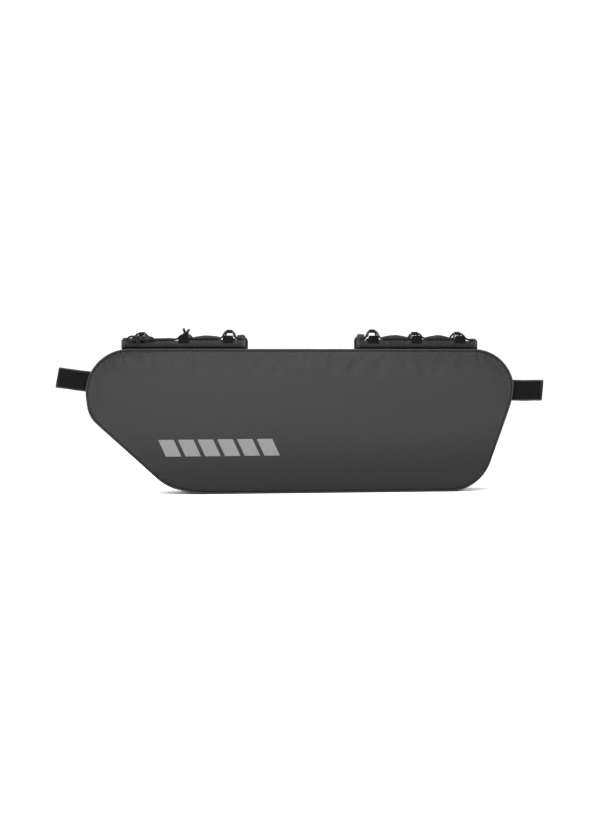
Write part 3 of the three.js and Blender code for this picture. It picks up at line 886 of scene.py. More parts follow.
def eased(value: np.ndarray | float, low: float, high: float) -> np.ndarray:
    """Share of the way from low to high, from 0 to 1 and eased at both ends."""
    share = np.clip((np.asarray(value, float) - low) / (high - low), 0, 1)
    return share * share * (3 - 2 * share)


def hump(x: np.ndarray | float, place: float, width: float) -> np.ndarray:
    """A smooth bump that is 1 high at its place."""
    return np.exp(-(((x - place) / width) ** 2))


def points_of(*parts: np.ndarray | float) -> np.ndarray:
    """Points made of their coordinates, each an array or a number."""
    return np.stack(np.broadcast_arrays(*parts), axis=-1)


def circle(angle: np.ndarray) -> np.ndarray:
    """Points on a circle of radius 1, at angles in radians."""
    return points_of(np.cos(angle), np.sin(angle))


def run_of(line: np.ndarray) -> np.ndarray:
    """Length along a line at each of its points."""
    return np.concatenate([[0], np.cumsum(np.linalg.norm(np.diff(line, axis=0), axis=1))])


def uv_of(rows: np.ndarray, columns: np.ndarray) -> np.ndarray:
    """UV map in metres of a grid, from the places of its rows and columns."""
    return np.stack(np.meshgrid(rows, columns, indexing="ij"), axis=-1)


def tilted(along: Any, up: Any, turn: float = TOP_SLOPE) -> tuple[Any, Any]:
    """Turns lengths along and across the top edge into lengths along X and Z."""
    return (
        along * math.cos(turn) + up * math.sin(turn), up * math.cos(turn) - along * math.sin(turn)
    )


def round_off(x: np.ndarray, half: float, corner: float) -> np.ndarray:
    """How far a straight top drops at its two round ends.

    Args:
        x: Places from its middle.
        half: Half of its length.
        corner: Radius of the ends.

    Returns:
        The drops.
    """
    from_end = np.clip(half - np.abs(x), 0, corner)
    return corner - np.sqrt(corner**2 - (corner - from_end) ** 2)


def laid_on(piece: Object, points: np.ndarray, way: Sequence[float]) -> np.ndarray:
    """Moves points along one direction until they meet a piece.

    Args:
        piece: The piece, with its modifiers.
        points: Points outside it.
        way: The direction.

    Returns:
        Where they meet it, without those that miss it.
    """
    tree = BVHTree.FromObject(piece, bpy.context.evaluated_depsgraph_get())
    found = [tree.ray_cast(Vector(point), Vector(way))[0] for point in points]
    return np.array([tuple(spot) for spot in found if spot is not None])


def smooth_path(points: np.ndarray, spacing: float) -> np.ndarray:
    """A smooth curve through points.

    Args:
        points: The points.
        spacing: Distance between the points of the result.

    Returns:
        Points of the curve.
    """
    ends = np.vstack([2 * points[0] - points[1], points, 2 * points[-1] - points[-2]])
    made = []
    for k in range(1, len(ends) - 2):
        a, b, c, d = ends[k - 1 : k + 3]
        steps = max(1, int(round(np.linalg.norm(c - b) / spacing)))
        t = (np.arange(steps) / steps)[:, None]
        square, cube = 2 * a - 5 * b + 4 * c - d, 3 * b - a - 3 * c + d
        made.append(0.5 * (2 * b + (c - a) * t + square * t**2 + cube * t**3))
    return np.concatenate([*made, points[-1][None]])


@dataclass(frozen=True)
class Corner:
    """A corner of the side outline, in shares of the body's length and height."""

    along: float
    up: float
    round: float


CORNERS = (
    Corner(-0.315, 0.052, 0.345), Corner(-0.241, 0.0, 1.09), Corner(0.419, 0.0, 0.306),
    Corner(0.5, 0.656, 0.54), Corner(0.499, 0.97, 0.276), Corner(-0.514, 1.005, 0.3),
    Corner(-0.4946, 0.538, 0.203),
)


def top_edge(along: float) -> float:
    """Height of the straight top edge.

    Args:
        along: Place from the middle of the body, in metres.

    Returns:
        The height.
    """
    front, rear = CORNERS[5], CORNERS[4]
    share = (along / BODY_LENGTH - front.along) / (rear.along - front.along)
    return BODY_HEIGHT * (front.up + share * (rear.up - front.up))


@dataclass
class Outline:
    """The body's side outline, anticlockwise as the viewer of the plain face sees it."""

    spacing: float = 3 * MM
    base: np.ndarray = field(init=False)
    facing: np.ndarray = field(init=False)
    bent: np.ndarray = field(init=False)

    def __post_init__(self) -> None:
        """Lays the arcs and the straight runs between them."""
        spots = np.array([(c.along * BODY_LENGTH + BAG_X, c.up * BODY_HEIGHT) for c in CORNERS])
        base, facing, bent = [], [], []
        for k, corner in enumerate(CORNERS):
            at = spots[k]
            arriving = at - spots[k - 1]
            leaving = spots[(k + 1) % len(spots)] - at
            arriving /= np.linalg.norm(arriving)
            leaving /= np.linalg.norm(leaving)
            turn = math.acos(float(arriving @ leaving))
            outward = np.array([arriving[1], -arriving[0]])
            radius = corner.round * BODY_HEIGHT
            middle = at - arriving * radius * math.tan(turn / 2) - outward * radius
            steps = max(6, int(math.ceil(turn * radius / self.spacing)))
            angle = turn * np.arange(steps + 1) / steps
            facing_here = points_of(
                outward[0] * np.cos(angle) - outward[1] * np.sin(angle),
                outward[0] * np.sin(angle) + outward[1] * np.cos(angle),
            )
            if base:
                self._straight(base, facing, bent, middle + facing_here[0] * radius)
            base.extend(middle + facing_here * radius)
            facing.extend(facing_here)
            bent.extend([1.0] * (steps + 1))
        self._straight(base, facing, bent, base[0])
        self.base = np.array(base)
        self.facing = np.array(facing)
        soft = np.array(bent)
        for _ in range(4):
            soft = (np.roll(soft, 1) + soft + np.roll(soft, -1)) / 3
        self.bent = soft

    def _straight(self, base: list, facing: list, bent: list, end: np.ndarray) -> None:
        """Adds the points between the last point and the start of the next arc.

        Args:
            base: Points so far.
            facing: Their facings.
            bent: Whether each is on an arc.
            end: Start of the next arc.
        """
        start, way = base[-1], facing[-1]
        steps = int(math.ceil(np.linalg.norm(end - start) / self.spacing))
        for k in range(1, steps):
            base.append(start + (end - start) * k / steps)
            facing.append(way)
            bent.append(0.0)

    def ring(self, inset: float) -> np.ndarray:
        """X and Z of the outline moved inwards."""
        return self.base - self.facing * inset

    def swept(self, inset: np.ndarray, depth: np.ndarray) -> np.ndarray:
        """Grid of points round the outline.

        Args:
            inset: How far each point is moved inwards, in rows along the outline.
            depth: Distances of the points behind the bag's middle plane.

        Returns:
            The grid.
        """
        at = self.base[:, None] - self.facing[:, None] * inset[..., None]
        return points_of(at[..., 0], BAG_Y + depth, at[..., 1])

    def run(self) -> np.ndarray:
        """Length along the outline at each point, and at the first point again."""
        return run_of(np.vstack([self.base, self.base[:1]]))

    def inset_at(self, points: np.ndarray) -> np.ndarray:
        """How far points are inside the outline.

        Args:
            points: Their X and Z.

        Returns:
            Distances, negative outside.
        """
        start, end = self.base, np.roll(self.base, -1, 0)
        edge = end - start
        length = (edge**2).sum(axis=1)
        best = np.full(len(points), np.inf)
        sign = np.ones(len(points))
        for a, e, size in zip(start, edge, length):
            away = points - a
            share = np.clip((away @ e) / size, 0, 1)
            off = away - share[:, None] * e
            distance = np.hypot(off[:, 0], off[:, 1])
            nearer = distance < best
            best[nearer] = distance[nearer]
            cross = e[0] * away[:, 1] - e[1] * away[:, 0]
            sign[nearer] = np.where(cross[nearer] >= 0, 1.0, -1.0)
        return best * sign

    def at_height(self, side: int, height: float, inset: float) -> tuple[np.ndarray, np.ndarray]:
        """Where one end of the outline crosses a height.

        Args:
            side: -1 for the head tube end, 1 for the seat tube end.
            height: The height.
            inset: How far the outline is moved inwards.

        Returns:
            The point and the outward way there.
        """
        ring = self.ring(inset)
        for k in range(len(ring)):
            a, b = ring[k], ring[(k + 1) % len(ring)]
            if (a[1] - height) * (b[1] - height) <= 0 and a[1] != b[1] and a[0] * side > 0:
                edge = (b - a) / np.linalg.norm(b - a)
                return a + (b - a) * (height - a[1]) / (b[1] - a[1]), np.array([edge[1], -edge[0]])
        raise ValueError("the outline doesn't reach this height")


@dataclass(frozen=True)
class ZipPlace:
    """Where the zip lies on the back panel."""

    middle: Vector = field(default_factory=lambda: middle_of("zip"))
    half_length: float = 193 * MM
    half_gap: float = 4.3 * MM

    def along_across(self, points: np.ndarray) -> np.ndarray:
        """Turns points into distances along and across the zip.

        Args:
            points: Their X and Z.

        Returns:
            Distance along and distance up from the middle of the zip.
        """
        away = points - np.array([self.middle.x, self.middle.z])
        return points_of(*tilted(away[:, 0], away[:, 1], -TOP_SLOPE))

    def space(self, along: Any, depth: Any, across: Any) -> np.ndarray:
        """Turns places of the zip into points of the row's frame.

        Args:
            along: Distances along it.
            depth: Distances behind the bag's middle plane.
            across: Distances up from its middle line.

        Returns:
            The points.
        """
        x, z = tilted(along, across)
        return points_of(self.middle.x + x, BAG_Y + depth, self.middle.z + z)

    def edge_distance(self, points: np.ndarray) -> np.ndarray:
        """Distance from the rounded slot between the lips.

        Args:
            points: X and Z.

        Returns:
            Distances, negative inside the slot.
        """
        place = self.along_across(points)
        beyond = np.maximum(np.abs(place[:, 0]) - (self.half_length - self.half_gap), 0)
        return np.hypot(beyond, place[:, 1]) - self.half_gap

    def loop(self, gap: float, spacing: float) -> np.ndarray:
        """A rounded line round the slot.

        Args:
            gap: How far from the edge of the slot.
            spacing: Distance between its points.

        Returns:
            X and Z of its points.
        """
        radius = self.half_gap + gap
        straight = self.half_length - self.half_gap
        count = int(2 * straight / spacing)
        turn = max(6, int(math.pi * radius / spacing))
        line = np.linspace(-straight, straight, count, endpoint=False)
        arc = -math.pi / 2 + math.pi * np.arange(turn) / turn
        half = np.concatenate(
            [points_of(line, -radius), np.array([straight, 0.0]) + radius * circle(arc)]
        )
        whole = np.concatenate([half, -half])
        return self.space(whole[:, 0], 0.0, whole[:, 1])[:, [0, 2]]


@dataclass
class Panel:
    """A crowned panel of coated cloth, pulled taut by a cloth simulation."""

    side: Side
    outline: Outline
    zip_place: ZipPlace | None = None
    spacing: float = 5.0 * MM
    edge_inset: float = 2.6 * MM
    edge_depth: float = BODY_DEPTH / 2 - PIPING_DIAMETER / 4
    crown: float = 6 * MM
    belly: float = 0.0
    crown_width: float = 27 * MM
    excess: float = 0.005
    pressure: float = 3.0
    cap: float = 0.5 * MM
    frames: int = 20
    border: tuple[float, ...] = (1.7, 2.5, 3.0, 3.5, 4.0, 4.4, 4.8, 5.6, 7.6, 10.8, 14.8)
    lips: tuple[float, ...] = (0.0, 0.35, 1.2, 2.4, 3.0, 3.6, 5.2)

    def depth_at(self, points: np.ndarray) -> np.ndarray:
        """Depth of the panel before the simulation.

        Args:
            points: X and Z.

        Returns:
            Distances from the bag's middle plane.
        """
        inset = self.outline.inset_at(points)
        share = np.clip((inset - self.edge_inset) / self.crown_width, 0, 1)
        depth = self.edge_depth + self.crown * (1 - (1 - share) ** 2.2) ** 0.6
        depth += np.minimum(inset - self.edge_inset, 0) * 2.2
        depth += 0.15 * MM * hump(inset, 3.5 * MM, 0.5 * MM)
        depth -= 0.4 * MM * hump(inset, 4.4 * MM, 0.35 * MM)
        depth += self.belly * (1 - (1 - np.clip((inset - self.edge_inset) / (85 * MM), 0, 1)) ** 2)
        if self.zip_place:
            gap = self.zip_place.edge_distance(points)
            depth += 0.35 * MM * hump(gap, 1.2 * MM, 1.3 * MM)
            depth -= 0.3 * MM * hump(gap, 3.0 * MM, 0.4 * MM)
            depth -= 0.55 * MM * (1 - eased(gap, 0.0, 0.4 * MM))
        return depth

    def flat_points(self) -> tuple[np.ndarray, list[tuple[int, int]]]:
        """Points of the panel as it is cut, and the edges that it has to keep.

        Returns:
            X and Z of the points, and the pairs of points along its borders.
        """
        fixed = [self.outline.ring(inset * MM) for inset in self.border]
        low, high = fixed[0].min(axis=0), fixed[0].max(axis=0)
        grid = []
        for k, row in enumerate(np.arange(low[1], high[1], self.spacing * math.sqrt(0.75))):
            shift = (k % 2) * self.spacing / 2
            grid.append(points_of(np.arange(low[0] + shift, high[0], self.spacing), row))
        inner = np.concatenate(grid)
        keep = self.outline.inset_at(inner) > self.border[-1] * MM + 0.6 * self.spacing
        if self.zip_place:
            fixed += [self.zip_place.loop(gap * MM, self.spacing * 0.8) for gap in self.lips]
            keep &= self.zip_place.edge_distance(inner) > self.lips[-1] * MM + 0.5 * self.spacing
        edges, base = [], 0
        for ring in fixed:
            edges += [(base + k, base + (k + 1) % len(ring)) for k in range(len(ring))]
            base += len(ring)
        return np.concatenate([*fixed, inner[keep]]), edges

    def build(self, name: str, material: Material) -> Object:
        """Makes the panel.

        Args:
            name: Its name.
            material: Its finish.

        Returns:
            The panel.
        """
        flat, edges = self.flat_points()
        verts, _, faces, *_ = delaunay_2d_cdt([Vector(p) for p in flat], edges, [], 0, 1e-7)
        flat = np.array([tuple(v) for v in verts])
        centre = np.array([flat[list(face)].mean(axis=0) for face in faces])
        keep = self.outline.inset_at(centre) > self.border[0] * MM
        if self.zip_place:
            keep &= self.zip_place.edge_distance(centre) > 0
        faces = [list(face) for face, kept in zip(faces, keep) if kept]
        side = self.side.value
        if side > 0:
            faces = [face[::-1] for face in faces]
        points = points_of(flat[:, 0], BAG_Y + side * self.depth_at(flat), flat[:, 1])
        mesh = bpy.data.meshes.new(name)
        mesh.from_pydata(points.tolist(), [], faces)
        self._note_seam(mesh, flat)
        layer = mesh.uv_layers.new(name="UVMap")
        corner = np.zeros(len(mesh.loops), np.int32)
        mesh.loops.foreach_get("vertex_index", corner)
        layer.data.foreach_set("uv", flat[corner].astype(np.float32).ravel())
        edit = bmesh.new()
        edit.from_mesh(mesh)
        bmesh.ops.delete(edit, geom=[v for v in edit.verts if not v.link_faces], context="VERTS")
        edit.to_mesh(mesh)
        edit.free()
        mesh.shade_smooth()
        panel = show(name, mesh, material)
        self.pull_taut(panel)
        rounding = panel.modifiers.new("rounding", "SUBSURF")
        rounding.levels = rounding.render_levels = 1
        thicken(panel)
        return panel

    def _note_seam(self, mesh: Mesh, flat: np.ndarray) -> None:
        """Notes for the material how each point lies to the seam.

        Args:
            mesh: The panel's mesh.
            flat: X and Z of its points.
        """
        run = self.outline.run()[:-1]
        nearest = np.array(
            [np.argmin(((self.outline.base - point) ** 2).sum(axis=1)) for point in flat]
        )
        away = flat - self.outline.base[nearest]
        facing = self.outline.facing[nearest]
        beside_it = -away[:, 0] * facing[:, 1] + away[:, 1] * facing[:, 0]
        values = {
            "seam_inset": self.outline.inset_at(flat), "seam_run": run[nearest] + beside_it,
            "seam_bent": self.outline.bent[nearest],
        }
        for name, numbers in values.items():
            layer = mesh.attributes.new(name, "FLOAT", "POINT")
            layer.data.foreach_set("value", np.asarray(numbers, np.float32))

    def pull_taut(self, panel: Object) -> None:
        """Blows the cloth up a little between its seams and keeps what moves within a cap.

        Args:
            panel: The panel, whose mesh is changed.
        """
        count = len(panel.data.vertices)
        rest = np.zeros(count * 3)
        panel.data.vertices.foreach_get("co", rest)
        rest = rest.reshape(-1, 3)
        held = 1 - eased(self.outline.inset_at(rest[:, [0, 2]]), 5.5 * MM, 9 * MM)
        if self.zip_place:
            gap = self.zip_place.edge_distance(rest[:, [0, 2]])
            held = np.maximum(held, 1 - eased(gap, 5 * MM, 8 * MM))
        group = panel.vertex_groups.new(name="sewn")
        for k in np.flatnonzero(held > 0.01):
            group.add([int(k)], float(held[k]), "REPLACE")
        cloth = panel.modifiers.new("cloth", "CLOTH")
        for name, value in {
            "quality": 6, "mass": 0.3, "tension_stiffness": 30, "compression_stiffness": 30,
            "shear_stiffness": 12, "bending_stiffness": 1.5, "air_damping": 3, "use_pressure": True,
            "uniform_pressure_force": self.pressure, "shrink_min": -self.excess,
            "vertex_group_mass": "sewn",
        }.items():
            setattr(cloth.settings, name, value)
        cloth.settings.effector_weights.gravity = 0
        cloth.collision_settings.use_collision = False
        cloth.point_cache.frame_start = 1
        cloth.point_cache.frame_end = self.frames
        scene = bpy.context.scene
        for number in range(1, self.frames + 1):
            scene.frame_set(number)
        depsgraph = bpy.context.evaluated_depsgraph_get()
        pulled = np.zeros(count * 3)
        panel.evaluated_get(depsgraph).data.vertices.foreach_get("co", pulled)
        pulled = pulled.reshape(-1, 3)
        panel.modifiers.remove(cloth)
        panel.vertex_groups.clear()
        scene.frame_set(1)
        moved = pulled - rest
        log.info("cloth moved up to %.2f mm", np.abs(moved[:, 1]).max() * 1000)
        size = np.linalg.norm(moved, axis=1)
        share = self.cap * np.tanh(size / self.cap) / np.maximum(size, 1e-9)
        final = rest + moved * share[:, None] * (1 - held)[:, None]
        panel.data.vertices.foreach_set("co", final.ravel())
        panel.data.update()


@dataclass
class Body:
    """The two panels, the band between them and the piping over their seams."""

    finishes: Finishes
    outline: Outline = field(default_factory=Outline)
    zip_place: ZipPlace = field(default_factory=ZipPlace)
    front: Object | None = None
    back: Object | None = None
    welt: float = 1.2 * MM
    topstitch: float = 4.4 * MM

    def build(self) -> None:
        """Makes every piece of the body."""
        self.front = Panel(Side.FRONT, self.outline, belly=1.6 * MM).build(
            "front_panel_cloth", self.finishes.panel
        )
        self.back = Panel(Side.BACK, self.outline, self.zip_place).build(
            "back_panel_cloth", self.finishes.panel
        )
        band = self.band()
        for piece, slot, node in (
            (self.front, "coated_fabric", "front_panel"),
            (self.back, "coated_fabric", "back_panel"), (band, "gusset_fabric", "gusset"),
            (self.piping(Side.FRONT), "piping_fabric", "front_piping"),
            (self.piping(Side.BACK), "piping_fabric", "back_piping"),
        ):
            stand_for(piece, slot, node)

    def seams(self, sewing: "Sewing") -> None:
        """Adds the topstitching of both panels.

        Args:
            sewing: Where the rows are collected.
        """
        ring = Outline(spacing=2.0 * MM).ring(self.topstitch)
        for side, panel in ((Side.FRONT, self.front), (Side.BACK, self.back)):
            sewing.ring(panel, ring, side)

    def band(self) -> Object:
        """The gusset: slightly hollow between the seams, with long soft waves.

        Returns:
            The gusset.
        """
        run = self.outline.run()
        edge = np.array([24.6, 25.4, 26.2])
        depth = np.concatenate([-edge[::-1], np.linspace(-23.6, 23.6, 23), edge]) * MM
        share = np.minimum(np.abs(depth) / (24 * MM), 1)
        tucked = np.maximum(np.abs(depth) - 23.8 * MM, 0) * 0.75
        inset = 1.05 * MM + 0.9 * MM * (1 - share**2) + tucked
        wave, fine = Ripple(11, 46 * MM), Ripple(12, 17 * MM)
        along, free = run[:-1, None], 1 - share**4
        lift = (0.35 * MM * (wave(along, depth) + 1) + 0.12 * MM * fine(along, depth)) * free
        draft = Draft()
        grid = self.outline.swept(inset + lift, depth)
        draft.grid(grid, uv_of(run, depth), wrap_rows=True)
        band = draft.piece("gusset_cloth", self.finishes.gusset, outward=False)
        thicken(band)
        return band

    def piping(self, side: Side) -> Object:
        """The welt over one seam, puckered where it turns a corner.

        Args:
            side: Which seam.

        Returns:
            The piping.
        """
        fine = Outline(spacing=1.0 * MM)
        run = fine.run()
        sides = 16
        angle = np.arange(sides) * math.tau / sides
        radius = self.welt
        slow = Ripple(21 + side.value, 24 * MM)
        quick = Ripple(31 + side.value, 3.2 * MM, 6)
        along, pucker = run[:-1, None], 0.04 * MM + 0.1 * MM * fine.bent[:, None]
        size = radius + 0.05 * MM * slow(along, angle * radius)
        size = size + pucker * quick(along, angle * 0.3 * MM)
        inset = np.clip(radius - size * np.cos(angle), -0.05 * MM, 4 * MM)
        depth = side.value * (BODY_DEPTH / 2 - radius) + size * np.sin(angle)
        draft = Draft()
        uv = uv_of(run, np.arange(sides + 1) * math.tau * radius / sides)
        draft.grid(fine.swept(inset, depth), uv, wrap_rows=True, wrap_columns=True)
        return draft.piece(f"{side.name.lower()}_piping_welt", self.finishes.piping)


class NodeTree(Nodes):
    """A Geometry Nodes tree with named inputs."""

    def __init__(self, name: str, inputs: dict[str, str]) -> None:
        """Starts a tree that takes and gives a geometry.

        Args:
            name: Name of the tree.
            inputs: Kind of each other input.
        """
        self.tree = bpy.data.node_groups.new(name, "GeometryNodeTree")
        add = self.tree.interface.new_socket
        for way in ("OUTPUT", "INPUT"):
            add("Geometry", in_out=way, socket_type="NodeSocketGeometry")
        self.inputs = {
            key: add(key, in_out="INPUT", socket_type="NodeSocket" + kind).identifier
            for key, kind in inputs.items()
        }
        self.start = self.node("NodeGroupInput", {}, {}).outputs
    def end(self, geometry: NodeSocket, material: NodeSocket) -> None:
        """Realizes the instances, sets the material and ends the tree.

        Args:
            geometry: What the tree made.
            material: The material's socket.
        """
        real = self.node("GeometryNodeRealizeInstances", {}, {"Geometry": geometry})
        smooth = self.node("GeometryNodeSetShadeSmooth", {}, {"Geometry": real.outputs[0]})
        dressed = self.node(
            "GeometryNodeSetMaterial", {}, {"Geometry": smooth.outputs[0], "Material": material}
        )
        self.node("NodeGroupOutput", {}, {"Geometry": dressed.outputs[0]})

    def grow(self, name: str, mesh: Mesh, values: dict[str, Any]) -> Object:
        """Runs the tree on a mesh and keeps the result as a plain mesh.

        Args:
            name: Name of the piece.
            mesh: What the tree starts from.
            values: Values of the named inputs.

        Returns:
            The piece.
        """
        seed = bpy.data.objects.new(name + "_seed", mesh)
        bpy.context.scene.collection.objects.link(seed)
        modifier = seed.modifiers.new("growth", "NODES")
        modifier.node_group = self.tree
        for key, value in values.items():
            modifier[self.inputs[key]] = value
        depsgraph = bpy.context.evaluated_depsgraph_get()
        made = bpy.data.meshes.new_from_object(seed.evaluated_get(depsgraph), depsgraph=depsgraph)
        seed.modifiers.remove(modifier)
        bpy.data.objects.remove(seed)
        piece = bpy.data.objects.new(name, made)
        bpy.context.scene.collection.objects.link(piece)
        made.name = name
        return piece


def stitch_tree() -> NodeTree:
    """A row of stitches along the edges of a mesh.

    Returns:
        The tree.
    """
    sizes = {"Pitch": "Float", "Stitch Length": "Float", "Thickness": "Float"}
    made = NodeTree("stitches", sizes | {"Seed": "Int", "Material": "Material"})
    start = made.start
    curve = made.node("GeometryNodeMeshToCurve", {}, {"Mesh": start["Geometry"]})
    points = made.node(
        "GeometryNodeResampleCurve", {"mode": "LENGTH"},
        {"Curve": curve.outputs[0], "Length": start["Pitch"]},
    )
    stitch = made.node("GeometryNodeMeshUVSphere", {}, {"Segments": 7, "Rings": 5, "Radius": 0.5})
    size = made.node(
        "ShaderNodeCombineXYZ", {},
        {"X": start["Stitch Length"], "Y": start["Thickness"], "Z": start["Thickness"]},
    )
    sized = made.node(
        "GeometryNodeTransform", {}, {"Geometry": stitch.outputs[0], "Scale": size.outputs[0]}
    )
    way = made.node("GeometryNodeInputTangent", {}, {})
    turn = made.node("FunctionNodeAlignRotationToVector", {"axis": "X"}, {"Vector": way.outputs[0]})
    uneven = made.node(
        "FunctionNodeRandomValue", {"data_type": "FLOAT_VECTOR"},
        {0: (0.9, 0.85, 0.85), 1: (1.05, 1.1, 1.1), "Seed": start["Seed"]},
    )
    laid = made.node(
        "GeometryNodeInstanceOnPoints", {},
        {
            "Points": points.outputs[0], "Instance": sized.outputs[0], "Rotation": turn.outputs[0],
            "Scale": uneven.outputs[0],
        },
    )
    made.end(laid.outputs[0], start["Material"])
    return made


def coil_tree() -> NodeTree:
    """The flattened spiral of a zip coil along X.

    Returns:
        The tree.
    """
    sizes = dict.fromkeys(("Length", "Turns", "Width", "Height", "Wire"), "Float")
    made = NodeTree("zip_coil", sizes | {"Material": "Material"})
    start = made.start
    spiral = made.node(
        "GeometryNodeCurveSpiral", {},
        {
            "Resolution": 12, "Rotations": start["Turns"], "Start Radius": 0.5, "End Radius": 0.5,
            "Height": start["Length"],
        },
    )
    size = made.node(
        "ShaderNodeCombineXYZ", {}, {"X": start["Height"], "Y": start["Width"], "Z": 1.0}
    )
    flat = made.node(
        "GeometryNodeTransform", {}, {"Geometry": spiral.outputs[0], "Scale": size.outputs[0]}
    )
    laid = made.node(
        "GeometryNodeTransform", {},
        {"Geometry": flat.outputs[0], "Rotation": (0.0, math.pi / 2, 0.0)},
    )
    ring = made.node(
        "GeometryNodeCurvePrimitiveCircle", {}, {"Resolution": 6, "Radius": start["Wire"]}
    )
    wire = made.node(
        "GeometryNodeCurveToMesh", {},
        {"Curve": laid.outputs[0], "Profile Curve": ring.outputs[0], "Fill Caps": True},
    )
    made.end(wire.outputs[0], start["Material"])
    return made


def copies_tree() -> NodeTree:
    """Copies of an object on the points of a mesh, all turned alike.

    Returns:
        The tree.
    """
    kinds = {"Original": "Object", "Turn": "Rotation", "Material": "Material"}
    made = NodeTree("copies", kinds)
    start = made.start
    original = made.node("GeometryNodeObjectInfo", {}, {"Object": start["Original"]})
    laid = made.node(
        "GeometryNodeInstanceOnPoints", {},
        {
            "Points": start["Geometry"], "Instance": original.outputs["Geometry"],
            "Rotation": start["Turn"],
        },
    )
    made.end(laid.outputs[0], start["Material"])
    return made


def line_mesh(lines: Sequence[np.ndarray], name: str) -> Mesh:
    """A mesh of open lines.

    Args:
        lines: The points of each.
        name: Name of the mesh.

    Returns:
        The mesh.
    """
    edges, base = [], 0
    for line in lines:
        edges += [(base + k, base + k + 1) for k in range(len(line) - 1)]
        base += len(line)
    made = bpy.data.meshes.new(name)
    made.from_pydata(np.concatenate(lines).tolist(), edges, [])
    return made


@dataclass
class Sewing:
    """Rows of stitches, collected and then grown by one tree."""

    tree: NodeTree
    thread: Material
    pitch: float = 3.1 * MM
    length: float = 2.5 * MM
    thickness: float = 0.42 * MM
    lines: list[np.ndarray] = field(default_factory=list)

    def row(self, points: np.ndarray) -> None:
        """Adds a row that follows these points."""
        self.lines.append(np.asarray(points, float))

    def ring(self, panel: Object, line: np.ndarray, side: Side) -> None:
        """Adds a closed row on a panel.

        Args:
            panel: The panel.
            line: X and Z of the row.
            side: Which side of the bag the panel is on.
        """
        closed = np.vstack([line, line[:1]])
        outside = points_of(closed[:, 0], BAG_Y + side.value, closed[:, 1])
        self.row(laid_on(panel, outside, (0, -side.value, 0)))

    def sew(self, name: str, slot: str, seed: int) -> Object:
        """Makes one piece of all the rows.

        Args:
            name: Its name.
            slot: The record's material slot.
            seed: Fixes how uneven the stitches are.

        Returns:
            The piece.
        """
        piece = self.tree.grow(
            name, line_mesh(self.lines, name),
            {
                "Pitch": self.pitch, "Stitch Length": self.length, "Thickness": self.thickness,
                "Seed": seed, "Material": self.thread,
            },
        )
        return stand_for(piece, slot)


class Slab(Draft):
    """A draft whose grids come in pairs, as the two faces of a wall."""

    def wall(self, outer: np.ndarray, inner: np.ndarray, uv: np.ndarray) -> None:
        """Adds a wall with its rim closed.

        Args:
            outer: Grid of the outer face.
            inner: Grid of the inner face, of the same shape.
            uv: UV of both.
        """
        whole = np.concatenate([outer, inner[:, ::-1]], axis=1)
        both = np.concatenate([uv, uv[:, ::-1], uv[:, :1]], axis=1)
        base, (rows, columns) = self.count, outer.shape[:2]
        self.grid(whole, both, wrap_columns=True)
        width = 2 * columns
        for row, turned in ((0, True), (rows - 1, False)):
            start = base + row * width
            for k in range(columns - 1):
                face = [start + k, start + k + 1, start + width - 2 - k, start + width - 1 - k]
                corner = np.array([uv[row, k], uv[row, k + 1], uv[row, k + 1], uv[row, k]])
                self.faces.append(face[::-1] if turned else face)
                self.uvs.append(corner[::-1] if turned else corner)


def beside(line: np.ndarray, distance: np.ndarray | float) -> np.ndarray:
    """A flat line moved to its own left.

    Args:
        line: Its points.
        distance: How far.

    Returns:
        The moved points.
    """
    run = np.gradient(line, axis=0)
    run /= np.linalg.norm(run, axis=1)[:, None]
    return line + points_of(-run[:, 1], run[:, 0]) * np.reshape(distance, (-1, 1))


